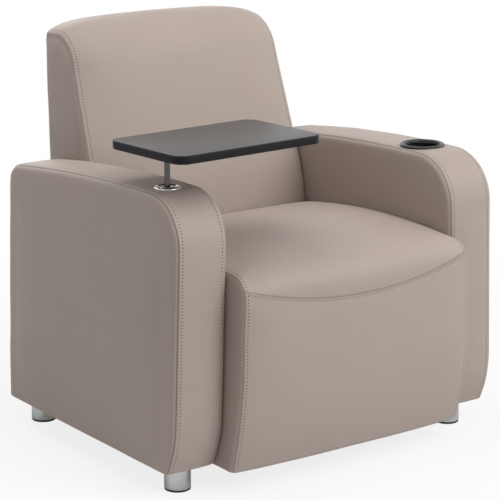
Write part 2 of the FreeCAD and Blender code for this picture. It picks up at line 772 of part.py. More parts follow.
def thrust_pad():
    """The hard pad on the socket's floor that carries the post."""
    floor = SOCKET_FOOT + SOCKET_FLOOR
    return upright(SOCKET_BORE - SOCKET_FIT, floor, floor + PAD_THICK, POST_X, POST_Y)


def post_flange():
    """The dished bright flange round the post, on top of the arm."""
    inner = SOCKET_RADIUS + FLANGE_FIT
    crest, dish = FLANGE_SEAT + FLANGE_HEIGHT, FLANGE_SEAT + FLANGE_DISH
    points = [
        (inner, FLANGE_SEAT),
        (FLANGE_RADIUS, FLANGE_SEAT),
        (FLANGE_RADIUS, FLANGE_SEAT + FLANGE_RIM),
        (FLANGE_RADIUS - FLANGE_CREST[0], crest),
        (FLANGE_RADIUS - FLANGE_CREST[1], crest),
        (inner + FLANGE_COLLAR, dish),
        (inner, dish),
    ]
    return turned_lines(points, POST_X, POST_Y)


def tablet_post():
    """The bright rod that carries the tablet."""
    low = SOCKET_FOOT + SOCKET_FLOOR + PAD_THICK + PAD_GAP
    rod = upright(ROD_RADIUS, low, TABLET_TOP - TABLET_THICK - HUB_THICK, POST_X, POST_Y)
    return rod.makeChamfer(POST_CHAMFER, [edge for edge in rod.Edges if edge.BoundBox.ZMax < low + 0.1])


def tablet_outline(inset):
    """The tablet's rounded outline, drawn in by an inset, laid flat round the post."""
    u0, u1 = TABLET_INNER_END + inset, TABLET_OUTER_END - inset
    v1 = TABLET_HALF_WIDTH - inset
    radius = TABLET_CORNER - inset
    cut = radius * (1.0 - math.sqrt(0.5))
    corners = ((u1, -v1, -1, 1), (u1, v1, -1, -1), (u0, v1, 1, -1), (u0, -v1, 1, 1))
    points = []
    for u, v, du, dv in corners:
        before = V(u + du * radius, v, 0) if du * dv < 0 else V(u, v + dv * radius, 0)
        after = V(u, v + dv * radius, 0) if du * dv < 0 else V(u + du * radius, v, 0)
        points.append((before, V(u + du * cut, v + dv * cut, 0), after))
    edges = []
    for corner, following in zip(points, points[1:] + points[:1]):
        edges.append(Part.Arc(*corner).toShape())
        edges.append(Part.LineSegment(corner[2], following[0]).toShape())
    return Part.Wire(edges)


def tablet_sheet(inset, low, high):
    """A flat sheet of the tablet's outline, in place over the post."""
    sheet = Part.Face(tablet_outline(inset)).extrude(V(0, 0, high - low))
    sheet.rotate(V(0, 0, 0), V(0, 0, 1), TABLET_TURN)
    sheet.translate(V(POST_X, POST_Y, low))
    return sheet


def hub_screw_places():
    """The four screws of the hub plate."""
    reach = HUB_RADIUS - HUB_SCREW_INSET
    angles = [math.radians(45.0 + 90.0 * step) for step in range(4)]
    return [(POST_X + reach * math.cos(a), POST_Y + reach * math.sin(a)) for a in angles]


def hub_screws():
    """Four screws up through the hub plate into the tablet board."""
    under = TABLET_TOP - TABLET_THICK - HUB_THICK
    screws = []
    for x, y in hub_screw_places():
        head = upright(2.0 * SCREW_RADIUS, under - HUB_SCREW_HEAD, under, x, y)
        screws.append(upright(SCREW_RADIUS, under, under + HUB_SCREW, x, y).fuse(head))
    return screws


def hub_screw_holes():
    """The room that the hub screws' shanks take."""
    low = TABLET_TOP - TABLET_THICK - HUB_THICK
    high = low + HUB_SCREW + PAST
    radius = SCREW_RADIUS + SCREW_FIT
    return Part.makeCompound([upright(radius, low, high, x, y) for x, y in hub_screw_places()])


def hub_plate():
    """The round plate between the post and the tablet board."""
    under = TABLET_TOP - TABLET_THICK
    return upright(HUB_RADIUS, under - HUB_THICK, under, POST_X, POST_Y).cut(hub_screw_holes())


def tablet_board():
    """The tablet's core board."""
    low = TABLET_TOP - TABLET_THICK
    return tablet_sheet(EDGE_BAND, low, TABLET_TOP - LAMINATE).cut(hub_screw_holes())


def tablet_edge():
    """The black band round the tablet."""
    low = TABLET_TOP - TABLET_THICK
    return tablet_sheet(0.0, low, TABLET_TOP).cut(tablet_sheet(EDGE_BAND, low - PAST, TABLET_TOP + PAST))


def cup_holder():
    """The black drop-in cup with its rounded rim."""
    rim, wall = CUP_RIM, CUP_BORE + CUP_WALL
    top = CUP_SEAT + CUP_RIM_HEIGHT
    side = CUP_SEAT + CUP_RIM_SIDE
    floor_under, floor = CUP_FLOOR
    runs = [(CUP_BORE, side), (CUP_BORE, floor), (0.0, floor), (0.0, floor_under), (wall, floor_under)]
    runs += [(wall, CUP_SEAT), (rim, CUP_SEAT), (rim, side)]
    points = [V(r, 0, z) for r, z in runs]
    edges = [Part.LineSegment(a, b).toShape() for a, b in zip(points, points[1:])]
    crest = V((CUP_BORE + rim) / 2.0, 0, top)
    edges.append(Part.Arc(points[-1], crest, points[0]).toShape())
    return turned(edges, CUP_X, CUP_Y)


def cup_room(radius):
    """The room for the cup in the right arm."""
    return upright(radius, CUP_FLOOR[0] - CUP_ROOM_BELOW, HIGH, CUP_X, CUP_Y)


def build_arms():
    """Both arms: the left with the post's fittings, the right with the cup's well."""
    post_hole = upright(SOCKET_RADIUS + SOCKET_ROOM, BLOCK[1], HIGH, POST_X, POST_Y)
    save("left_arm_cover", mirrored(arm_cover()).cut(post_hole))
    save("left_arm_foam", mirrored(arm_foam()).cut(post_hole))
    save("left_arm_boards", *[mirrored(board) for board in arm_boards()])
    left_rails = arm_rails(POST_Y + BLOCK_HALF_LENGTH + BLOCK_TO_RAIL)
    save("left_arm_rails", *[mirrored(rail) for rail in left_rails])
    wall = CUP_BORE + CUP_WALL
    save("right_arm_cover", arm_cover().cut(cup_room(wall + CUP_FIT)))
    save("right_arm_foam", arm_foam().cut(cup_room(wall + CUP_FIT)))
    save("right_arm_boards", *[board.cut(cup_room(wall + CUP_BOARD_ROOM)) for board in arm_boards()])
    save("right_arm_rails", *arm_rails(CUP_Y + wall + CUP_TO_RAIL))
    save("cup_holder", cup_holder())
    save("arm_bolts", *arm_bolts())
    save("arm_tee_nuts", *arm_tee_nuts())


def build_seat():
    """The seat box, its springs, foam and cover."""
    front, rear, sides = seat_rails()
    save("seat_front_rail", front)
    save("seat_rear_rail", rear)
    save("seat_side_rails", *sides)
    save("seat_corner_blocks", *corner_blocks())
    save("seat_springs", *[seat_spring(x) for x in SPRING_X])
    save("spring_clips", *spring_clips())
    save("seat_deck_pad", deck_pad())
    save("seat_foam", seat_foam())
    save("seat_cover", seat_cover())
    save("dust_cover", dust_cover())


def build_back():
    """The back frame, its straps, foam and cover."""
    save("back_posts", *back_posts())
    save("back_rails", *back_rails())
    save("back_straps", *back_straps())
    save("back_rear_board", rear_board())
    save("back_foam", back_foam())
    save("back_cover", back_cover())


def build_legs():
    """Four legs with their glides, studs and nuts."""
    for name, x, y in leg_places():
        save(name + "_leg", leg(x, y))
        save(name + "_glide", glide(x, y))
    save("leg_studs", *leg_studs())
    save("leg_tee_nuts", *leg_tee_nuts())


def build_tablet():
    """The tablet on its post and what the post turns in."""
    save("post_block", post_block())
    save("post_socket", post_socket())
    save("socket_screws", *socket_screws())
    save("lower_bush", bush(*[SOCKET_FOOT + height for height in LOWER_BUSH]))
    save("upper_bush", bush(SOCKET_TOP - UPPER_BUSH, SOCKET_TOP))
    save("thrust_pad", thrust_pad())
    save("post_flange", post_flange())
    save("tablet_post", tablet_post())
    save("hub_plate", hub_plate())
    save("hub_screws", *hub_screws())
    save("tablet_board", tablet_board())
    save("tablet_laminate", tablet_sheet(EDGE_BAND, TABLET_TOP - LAMINATE, TABLET_TOP))
    save("tablet_edge_band", tablet_edge())


os.makedirs("parts", exist_ok=True)
build_arms()
build_seat()
build_back()
build_legs()
build_tablet()
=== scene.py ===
"""Upholstered tablet arm chair: covers, stitching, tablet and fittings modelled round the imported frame.

Metres, +Z up, front towards -Y. The chair stands on the floor at the origin.
"""

import bisect
import json
import logging
import math
from dataclasses import dataclass, field
from enum import Enum
from typing import Callable, Iterable, NamedTuple, Optional, Sequence, Union

import bmesh
import bpy
import numpy as np
from mathutils import Matrix, Vector
from mathutils.bvhtree import BVHTree


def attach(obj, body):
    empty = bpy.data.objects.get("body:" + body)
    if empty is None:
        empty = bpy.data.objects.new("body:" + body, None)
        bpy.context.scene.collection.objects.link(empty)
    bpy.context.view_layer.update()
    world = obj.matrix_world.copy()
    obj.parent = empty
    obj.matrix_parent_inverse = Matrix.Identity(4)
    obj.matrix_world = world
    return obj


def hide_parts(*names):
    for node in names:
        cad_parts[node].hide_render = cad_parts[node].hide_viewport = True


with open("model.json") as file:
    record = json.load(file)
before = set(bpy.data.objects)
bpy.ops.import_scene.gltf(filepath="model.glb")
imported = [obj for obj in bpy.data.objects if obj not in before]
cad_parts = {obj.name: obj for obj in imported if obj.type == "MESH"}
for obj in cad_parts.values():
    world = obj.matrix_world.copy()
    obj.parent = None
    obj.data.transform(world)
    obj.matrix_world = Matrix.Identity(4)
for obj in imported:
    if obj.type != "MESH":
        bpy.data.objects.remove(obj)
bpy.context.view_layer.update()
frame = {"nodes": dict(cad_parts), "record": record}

log = logging.getLogger("tablet_arm_chair")

Colour = tuple[float, float, float]
Point = tuple[float, float]
Number = Union[int, float]

SLANT = math.sqrt(0.5)
TABLET_TURN = math.radians(3.7)
WELD = 0.00002
SWELL_FRAMES = 20
SWELL_CLOTH = {
    "quality": 6,
    "mass": 0.15,
    "tension_stiffness": 12.0,
    "compression_stiffness": 12.0,
    "shear_stiffness": 6.0,
    "bending_stiffness": 4.0,
    "air_damping": 4.0,
    "use_pressure": True,
}


def post_place() -> Point:
    """Where the tablet's post stands, from its joint."""
    x, y, _ = frame["record"]["behaviour"]["joints"][0]["pos_m"]
    return x, y


def cup_place() -> Point:
    """Where the cup holder stands, from its well."""
    wells = [mount for mount in frame["record"]["mounts"] if mount["name"] == "cup_well"]
    return wells[0]["pos_m"][0], wells[0]["pos_m"][1]


def ramp(value: float, low: float, high: float) -> float:
    """A smooth rise from 0 at one value to 1 at another."""
    share = min(max((value - low) / (high - low), 0.0), 1.0)
    return share * share * (3.0 - 2.0 * share)


class Side(Enum):
    """Left and right as the sitter has them, by the sign of x."""

    LEFT = -1
    RIGHT = 1


class Panel(Enum):
    """The cut pieces that a cover is sewn from."""

    REAR = 0
    TOP = 1
    FRONT = 2
    OUTER_SIDE = 3
    INNER_SIDE = 4


class Socket:
    """A shader value that Python expressions can work with."""

    def __init__(self, shader: "Shader", output: Optional[bpy.types.NodeSocket]) -> None:
        """Keeps the node output, none for an end node, and the material it is part of."""
        self.shader = shader
        self.output = output

    def math(self, operation: str, first: "Operand", second: "Operand") -> "Socket":
        """Adds one Math node.

        Args:
            operation: The Math node's operation.
            first: Its first value or link.
            second: Its second value or link.

        Returns:
            The node's result.
        """
        return self.shader.node("ShaderNodeMath", {"operation": operation}, {0: first, 1: second})

    def __add__(self, other: "Operand") -> "Socket":
        """self + other."""
        return self.math("ADD", self, other)

    def __radd__(self, other: "Operand") -> "Socket":
        """other + self."""
        return self.math("ADD", other, self)

    def __sub__(self, other: "Operand") -> "Socket":
        """self - other."""
        return self.math("SUBTRACT", self, other)

    def __rsub__(self, other: "Operand") -> "Socket":
        """other - self."""
        return self.math("SUBTRACT", other, self)

    def __mul__(self, other: "Operand") -> "Socket":
        """self * other."""
        return self.math("MULTIPLY", self, other)

    def __rmul__(self, other: "Operand") -> "Socket":
        """other * self."""
        return self.math("MULTIPLY", other, self)


Operand = Union[Socket, Number]


class Shader:
    """The node tree of a material or a world while it is drawn up."""

    def __init__(self, owner: Union[bpy.types.Material, bpy.types.World]) -> None:
        """Empties the owner's node tree.

        Args:
            owner: The material or world.
        """
        owner.use_nodes = True
        self.owner = owner
        self.tree = owner.node_tree
        self.tree.nodes.clear()

    @classmethod
    def named(cls, name: str) -> "Shader":
        """Starts a new material of that name."""
        return cls(bpy.data.materials.new(name))

    def node(
        self,
        kind: str,
        settings: Optional[dict] = None,
        sockets: Optional[dict] = None,
        output: Union[int, str] = 0,
    ) -> Socket:
        """Adds one node.

        Args:
            kind: The node's type.
            settings: Its properties, set first; "stops" are a ramp's (place, grey) stops.
            sockets: Values or links by socket name or number.
            output: Which of its outputs is wanted.

        Returns:
            That output.
        """
        node = self.tree.nodes.new(kind)
        for key, value in (settings or {}).items():
            if key == "stops":
                self.set_stops(node.color_ramp.elements, value)
            else:
                setattr(node, key, value)
        for key, value in (sockets or {}).items():
            if isinstance(value, Socket):
                self.tree.links.new(value.output, node.inputs[key])
            else:
                node.inputs[key].default_value = value
        return Socket(self, node.outputs[output] if node.outputs else None)

    @staticmethod
    def set_stops(elements: bpy.types.ColorRampElements, stops: Sequence[Point]) -> None:
        """Sets a ramp's stops, which begin as two.

        Args:
            elements: The ramp's elements.
            stops: The place and the grey of each stop.
        """
        while len(elements) < len(stops):
            elements.new(1.0)
        for element, (place, grey) in zip(elements, stops):
            element.position = place
            element.color = (grey, grey, grey, 1.0)

    def place(
        self,
        scale: Sequence[float] = (1.0, 1.0, 1.0),
        turn: Sequence[float] = (0.0, 0.0, 0.0),
    ) -> Socket:
        """Object coordinates, scaled and turned.

        Args:
            scale: Scale along each axis.
            turn: Turn about each axis, in radians.

        Returns:
            The coordinates.
        """
        where = self.node("ShaderNodeTexCoord", output="Object")
        return self.node("ShaderNodeMapping", None, {"Vector": where, "Scale": scale, "Rotation": turn})

    def noise(self, where: Socket, scale: float, detail: float = 3.0, rough: float = 0.5) -> Socket:
        """A noise value from 0 to 1.

        Args:
            where: The coordinates.
            scale: Waves per metre.
            detail: How many finer layers it has.
            rough: How strong those layers are.

        Returns:
            The noise.
        """
        sockets = {"Vector": where, "Scale": scale, "Detail": detail, "Roughness": rough}
        return self.node("ShaderNodeTexNoise", None, sockets)

    def cells(self, where: Socket, scale: float, feature: str = "F1") -> Socket:
        """Distances in a field of irregular cells.

        Args:
            where: The coordinates.
            scale: Cells per metre.
            feature: Which distance is measured.

        Returns:
            The distance.
        """
        sockets = {"Vector": where, "Scale": scale}
        return self.node("ShaderNodeTexVoronoi", {"feature": feature}, sockets, "Distance")

    def mix(self, share: Operand, first: Union[Socket, Colour], second: Union[Socket, Colour]) -> Socket:
        """A mix of two colours.

        Args:
            share: How much of the second there is.
            first: The first colour.
            second: The second colour.

        Returns:
            The mixed colour.
        """
        pair = [c if isinstance(c, Socket) else (*c, 1.0) for c in (first, second)]
        settings = {"data_type": "RGBA", "clamp_factor": True}
        return self.node("ShaderNodeMix", settings, {0: share, 6: pair[0], 7: pair[1]}, 2)

    def tones(self, share: Operand, colour: Colour, ends: Point) -> Socket:
        """A colour that runs between two tones of itself, given as factors."""
        return self.mix(share, shade(colour, ends[0]), shade(colour, ends[1]))

    def bump(self, height: Socket, strength: float, distance: float) -> Socket:
        """A surface normal from a height.

        Args:
            height: The height, about 0 to 1.
            strength: How much of it shows.
            distance: The real depth of a height of 1, in metres.

        Returns:
            The normal.
        """
        sockets = {"Height": height, "Strength": strength, "Distance": distance}
        return self.node("ShaderNodeBump", None, sockets)

    def finish(self, sockets: dict) -> bpy.types.Material:
        """Ends the material with a Principled surface.

        Args:
            sockets: The surface's values and links.

        Returns:
            The material.
        """
        surface = self.node("ShaderNodeBsdfPrincipled", None, sockets)
        self.node("ShaderNodeOutputMaterial", None, {"Surface": surface})
        return self.owner


def shade(colour: Colour, factor: float) -> Colour:
    """A colour made darker or lighter by a factor."""
    return (colour[0] * factor, colour[1] * factor, colour[2] * factor)


@dataclass(frozen=True)
class Leather:
    """Soft fine-grained leather-look cover, with painted shade darkening the seams' grooves."""

    colour: Colour = (0.446, 0.371, 0.327)
    roughness: float = 0.47
    gloss: float = 0.22
    pebbles: float = 620.0
    crease_edge: float = 0.22
    crease_tone: float = 0.62
    pores: float = 2600.0
    clouds: float = 7.0
    cloud_tones: Point = (0.95, 1.05)
    # How dark the painted shade in the seams' grooves is, as a factor of the colour.
    seam_tone: float = 0.22
    relief: Point = (0.22, 0.0004)

    def make(self, name: str) -> bpy.types.Material:
        """Draws up the material.

        Args:
            name: The material's name.

        Returns:
            The material.
        """
        shader = Shader.named(name)
        where = shader.place()
        pebble = shader.cells(where, self.pebbles, "DISTANCE_TO_EDGE")
        stops = ((0.0, 0.0), (self.crease_edge, 1.0))
        creases = shader.node("ShaderNodeValToRGB", {"stops": stops}, {0: pebble})
        pores = shader.noise(where, self.pores, 2.0)
        clouds = shader.noise(where, self.clouds, 4.0, 0.55)
        seam = shader.node("ShaderNodeAttribute", {"attribute_name": "seam"}, None, "Fac")
        toned = shader.tones(clouds, self.colour, self.cloud_tones)
        grained = shader.mix((1.0 - creases) * 0.35, toned, shade(self.colour, self.crease_tone))
        # Painted shade: the base colour turns darker along the seams' grooves, by the seam attribute.
        sewn = shader.mix(seam * 0.75, grained, shade(self.colour, self.seam_tone))
        height = creases * 0.6 + pores * 0.4
        return shader.finish({
            "Base Color": sewn,
            "Roughness": self.roughness - 0.1 * creases + 0.12 * clouds,
            "Specular IOR Level": self.gloss,
            "Normal": shader.bump(height, *self.relief),
        })


@dataclass(frozen=True)
class Thread:
    """Twisted polyester sewing thread."""

    colour: Colour = (0.50, 0.43, 0.375)
    strands: float = 2400.0
    tones: Point = (0.7, 1.3)
    relief: Point = (0.3, 0.0002)

    def make(self, name: str) -> bpy.types.Material:
        """Draws up the material.

        Args:
            name: The material's name.

        Returns:
            The material.
        """
        shader = Shader.named(name)
        strands = shader.noise(shader.place(), self.strands, 2.0)
        return shader.finish({
            "Base Color": shader.tones(strands, self.colour, self.tones),
            "Roughness": 0.5 + 0.2 * strands,
            "Normal": shader.bump(strands, *self.relief),
        })


@dataclass(frozen=True)
class Metal:
    """Bright or plain metal, with the faint smears of handling."""

    colour: Colour
    roughness: float
    smear: float
    smears: float = 18.0
    grain: Sequence[float] = (60.0, 60.0, 60.0)
    tones: Point = (0.93, 1.0)
    relief: Point = (0.02, 0.0002)

    def make(self, name: str) -> bpy.types.Material:
        """Draws up the material.

        Args:
            name: The material's name.

        Returns:
            The material.
        """
        shader = Shader.named(name)
        smears = shader.noise(shader.place(), self.smears, 4.0, 0.6)
        grain = shader.noise(shader.place(self.grain), 10.0, 3.0)
        return shader.finish({
            "Base Color": shader.tones(smears, self.colour, self.tones),
            "Metallic": 1.0,
            "Roughness": self.roughness + self.smear * (0.6 * smears + 0.4 * grain),
            "Normal": shader.bump(grain, *self.relief),
        })


@dataclass(frozen=True)
class Moulded:
    """Moulded plastic, nylon or rubber with a fine spark-eroded texture."""

    colour: Colour
    roughness: float
    gloss: float = 0.5
    texture: float = 1600.0
    wear: float = 30.0
    tones: Point = (0.85, 1.2)
    relief: Point = (0.12, 0.0003)

    def make(self, name: str) -> bpy.types.Material:
        """Draws up the material.

        Args:
            name: The material's name.

        Returns:
            The material.
        """
        shader = Shader.named(name)
        where = shader.place()
        spark = shader.noise(where, self.texture, 3.0, 0.6)
        wear = shader.noise(where, self.wear, 4.0, 0.6)
        return shader.finish({
            "Base Color": shader.tones(wear, self.colour, self.tones),
            "Roughness": self.roughness + 0.12 * wear,
            "Specular IOR Level": self.gloss,
            "Normal": shader.bump(spark, *self.relief),
        })


@dataclass(frozen=True)
class Laminate:
    """Satin decorative laminate with a faint long grain."""

    colour: Colour = (0.032, 0.029, 0.028)
    roughness: float = 0.30
    gloss: float = 0.3
    stretch: Sequence[float] = (14.0, 260.0, 40.0)
    flecks: float = 900.0
    fleck_tone: float = 1.35
    touches: float = 9.0
    tones: Point = (0.9, 1.1)
    relief: Point = (0.06, 0.0003)

    def make(self, name: str) -> bpy.types.Material:
        """Draws up the material.

        Args:
            name: The material's name.

        Returns:
            The material.
        """
        shader = Shader.named(name)
        long = shader.place(self.stretch, (0.0, 0.0, -TABLET_TURN))
        grain = shader.noise(long, 2.2, 4.0, 0.6)
        fleck = shader.noise(shader.place(), self.flecks, 2.0)
        touch = shader.noise(shader.place(), self.touches, 3.0)
        toned = shader.tones(grain, self.colour, self.tones)
        return shader.finish({
            "Base Color": shader.mix(fleck * 0.25, toned, shade(self.colour, self.fleck_tone)),
            "Roughness": self.roughness + 0.06 * touch + 0.04 * fleck,
            "Specular IOR Level": self.gloss,
            "Normal": shader.bump(fleck * 0.6 + grain * 0.4, *self.relief),
        })


@dataclass(frozen=True)
class Timber:
    """Raw softwood and plywood with a long grain."""

    colour: Colour = (0.56, 0.40, 0.24)
    ring_stretch: Sequence[float] = (60.0, 4.0, 60.0)
    fibre_stretch: Sequence[float] = (400.0, 20.0, 400.0)
    tones: Point = (0.72, 1.15)
    relief: Point = (0.3, 0.0005)

    def make(self, name: str) -> bpy.types.Material:
        """Draws up the material.

        Args:
            name: The material's name.

        Returns:
            The material.
        """
        shader = Shader.named(name)
        rings = shader.noise(shader.place(self.ring_stretch), 1.0, 5.0, 0.65)
        fibre = shader.noise(shader.place(self.fibre_stretch), 2.0, 3.0)
        return shader.finish({
            "Base Color": shader.tones(rings, self.colour, self.tones),
            "Roughness": 0.62 + 0.2 * fibre,
            "Normal": shader.bump(fibre, *self.relief),
        })


@dataclass(frozen=True)
class Foam:
    """Cut cushion foam with open cells."""

    colour: Colour = (0.74, 0.68, 0.46)
    cells: float = 700.0
    tones: Point = (0.7, 1.0)
    relief: Point = (0.5, 0.001)

    def make(self, name: str) -> bpy.types.Material:
        """Draws up the material.

        Args:
            name: The material's name.

        Returns:
            The material.
        """
        shader = Shader.named(name)
        cells = shader.cells(shader.place(), self.cells)
        return shader.finish({
            "Base Color": shader.tones(cells, self.colour, self.tones),
            "Roughness": 0.85 + 0.1 * cells,
            "Normal": shader.bump(cells, *self.relief),
        })


@dataclass(frozen=True)
class Weave:
    """Plain cloth, felt or webbing with threads that cross."""

    colour: Colour
    threads: float
    tones: Point = (0.6, 1.4)
    relief: Point = (0.5, 0.0006)

    def make(self, name: str) -> bpy.types.Material:
        """Draws up the material.

        Args:
            name: The material's name.

        Returns:
            The material.
        """
        shader = Shader.named(name)
        where = shader.place()
        across = self.stripes(shader, where, "X")
        along = self.stripes(shader, where, "Y")
        fuzz = shader.noise(where, self.threads * 2.5, 2.0)
        cloth = across * along + 0.3 * fuzz
        return shader.finish({
            "Base Color": shader.tones(cloth, self.colour, self.tones),
            "Roughness": 0.8 + 0.15 * fuzz,
            "Normal": shader.bump(cloth, *self.relief),
        })

    def stripes(self, shader: Shader, where: Socket, direction: str) -> Socket:
        """One set of threads, side by side along an axis."""
        settings = {"wave_type": "BANDS", "bands_direction": direction}
        return shader.node("ShaderNodeTexWave", settings, {"Vector": where, "Scale": self.threads}, "Fac")


class Finishes:
    """The chair's finishes, made once and shared, by the record's material slots."""

    def __init__(self) -> None:
        """Makes every material."""
        makers = {
            "upholstery": Leather(),
            "foam": Foam(),
            "frame_wood": Timber(),
            "plain_steel": Metal(
                (0.56, 0.57, 0.58),
                roughness=0.3,
                smear=0.2,
                grain=(200.0, 200.0, 200.0),
                relief=(0.1, 0.0002),
            ),
            "bright_chrome": Metal((0.55, 0.56, 0.57), roughness=0.05, smear=0.07),
            "glide_rubber": Moulded((0.018, 0.018, 0.018), roughness=0.6),
            "cup_plastic": Moulded((0.010, 0.010, 0.011), roughness=0.26, gloss=0.3),
            "bearing_nylon": Moulded((0.75, 0.74, 0.70), roughness=0.45),
            "tablet_core": Moulded((0.02, 0.02, 0.02), roughness=0.5, texture=900.0),
            "tablet_laminate": Laminate(),
            "tablet_edge": Moulded((0.008, 0.008, 0.011), roughness=0.45, gloss=0.15),
            "felt": Weave((0.42, 0.42, 0.40), threads=260.0),
            "strap_webbing": Weave((0.10, 0.09, 0.08), threads=190.0),
            "dust_cloth": Weave((0.022, 0.022, 0.022), threads=420.0),
        }
        self.by_slot = {slot: maker.make(slot) for slot, maker in makers.items()}
        self.thread = Thread().make("sewing_thread")
        # Painted shade: a dark finish for small discs that stand in for the shadow inside the needle holes.
        self.needle_hole = Moulded((0.06, 0.05, 0.043), roughness=0.9, gloss=0.1).make("needle_hole")
        # Painted reflection: the post's chrome is made far darker than the other chrome, standing in for dark
        # surroundings that it would mirror.
        post = Metal((0.10, 0.095, 0.092), roughness=0.10, smear=0.08)
        self.own = {"tablet_post": post.make("post_chrome")}

    def dress(self, piece: bpy.types.Object, *slots: str) -> bpy.types.Object:
        """Gives a piece its materials.

        Args:
            piece: The piece.
            slots: The record's slots, in the order of the piece's material slots.

        Returns:
            The piece.
        """
        piece.data.materials.clear()
        for slot in slots:
            piece.data.materials.append(self.by_slot[slot])
        return piece

    def fit(
        self,
        piece: bpy.types.Object,
        slot: str,
        node: str,
        body: str = "chair",
    ) -> bpy.types.Object:
        """Dresses a piece and puts it in place of a CAD node.

        Args:
            piece: The piece.
            slot: The record's material slot.
            node: The CAD node that it stands for.
            body: The body that it rides on.

        Returns:
            The piece.
        """
        self.dress(piece, slot)
        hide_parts(node)
        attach(piece, body)
        return piece

    def dress_frame(self) -> None:
        """Gives every CAD node that still shows the finish of its own slot."""
        for subpart in frame["record"]["subparts"]:
            node = frame["nodes"][subpart["node"]]
            if not node.hide_render:
                finish = self.own.get(subpart["node"], self.by_slot[subpart["material_slot"]])
                node.data.materials.clear()
                node.data.materials.append(finish)


class Bench:
    """One new object while it is shaped with the edit-mode tools."""

    def __init__(self, name: str, add: Callable, **sizes: object) -> None:
        """Adds a primitive of its own, with nothing else selected.

        Args:
            name: The piece's name.
            add: The operator that adds it.
            sizes: That operator's settings.
        """
        bpy.ops.object.select_all(action="DESELECT")
        add(**sizes)
        self.piece = bpy.context.object
        self.piece.name = name
        self.piece.data.name = name

    def select(self, kind: str, test: Optional[Callable] = None) -> None:
        """Enters edit mode with the wanted parts selected.

        Args:
            kind: VERT, EDGE or FACE.
            test: Says of each vertex, edge or face whether it is wanted; none means all.
        """
        bpy.context.view_layer.objects.active = self.piece
        bpy.ops.object.mode_set(mode="EDIT")
        bpy.ops.mesh.select_mode(type=kind)
        bpy.ops.mesh.select_all(action="DESELECT")
        drawn = bmesh.from_edit_mesh(self.piece.data)
        drawn.normal_update()
        parts = {"VERT": drawn.verts, "EDGE": drawn.edges, "FACE": drawn.faces}[kind]
        for part in parts:
            if test is None or test(part):
                part.select_set(True)
        drawn.select_flush_mode()
        bmesh.update_edit_mesh(self.piece.data)

    def leave(self) -> bpy.types.Object:
        """Goes back to object mode and returns the piece."""
        bpy.ops.object.mode_set(mode="OBJECT")
        return self.piece

    def tool(self, kind: str, test: Optional[Callable], action: Callable, **values: object) -> None:
        """Selects, uses one edit-mode tool, and leaves.

        Args:
            kind: VERT, EDGE or FACE.
            test: Says which parts are wanted; none means all.
            action: The edit-mode operator.
            values: Its settings.
        """
        self.select(kind, test)
        action(**values)
        self.leave()

    def tidy(self) -> None:
        """Merges doubles and turns all faces outwards."""
        self.tool("VERT", None, bpy.ops.mesh.remove_doubles, threshold=WELD)
        self.tool("FACE", None, bpy.ops.mesh.normals_make_consistent, inside=False)

    def modify(self, kind: str, **settings: object) -> None:
        """Adds a modifier and applies it.

        Args:
            kind: The modifier's type.
            settings: Its properties.
        """
        bpy.context.view_layer.objects.active = self.piece
        modifier = self.piece.modifiers.new(kind, kind)
        for key, value in settings.items():
            setattr(modifier, key, value)
        bpy.ops.object.modifier_apply(modifier=modifier.name)

    def alone(self) -> None:
        """Selects this piece and no other."""
        bpy.ops.object.select_all(action="DESELECT")
        self.piece.select_set(True)
        bpy.context.view_layer.objects.active = self.piece

    def smooth(self, angle: float = 35.0) -> bpy.types.Object:
        """Smooth shading, apart from sharp edges.

        Args:
            angle: The angle from which an edge stays sharp, in degrees.

        Returns:
            The piece.
        """
        self.alone()
        bpy.ops.object.shade_smooth_by_angle(angle=math.radians(angle))
        return self.piece

    def settle(self) -> bpy.types.Object:
        """Puts the piece's place into its mesh.

        Returns:
            The piece.
        """
        self.alone()
        bpy.ops.object.transform_apply(location=True, rotation=True, scale=True)
        return self.piece


def turned(name: str, section: Sequence[Point], x: float, y: float, steps: int = 96) -> Bench:
    """A piece turned on a lathe about an upright line.

    Args:
        name: The piece's name.
        section: The closed (radius, height) section, without a repeated end.
        x: Where the line stands.
        y: Where the line stands.
        steps: How many flats a full turn has.

    Returns:
        The bench with the piece.
    """
    bench = Bench(name, bpy.ops.mesh.primitive_circle_add, vertices=len(section), radius=1.0)
    for vertex, (radius, height) in zip(bench.piece.data.vertices, section):
        vertex.co = (x + radius, y, height)
    spin = {"steps": steps, "angle": math.tau, "center": (x, y, 0.0), "axis": (0.0, 0.0, 1.0)}
    bench.tool("EDGE", None, bpy.ops.mesh.spin, **spin)
    bench.tidy()
    bench.smooth()
    return bench


def rounded(centre: Point, radius: float, start: float, end: float, count: int = 6) -> list[Point]:
    """Points of a round stretch of a section.

    Args:
        centre: The middle of the round.
        radius: Its radius.
        start: Where it starts, in degrees from outwards.
        end: Where it ends.
        count: How many runs it has.

    Returns:
        The points, both ends included.
    """
    angles = [math.radians(start + (end - start) * i / count) for i in range(count + 1)]
    return [(centre[0] + radius * math.cos(a), centre[1] + radius * math.sin(a)) for a in angles]


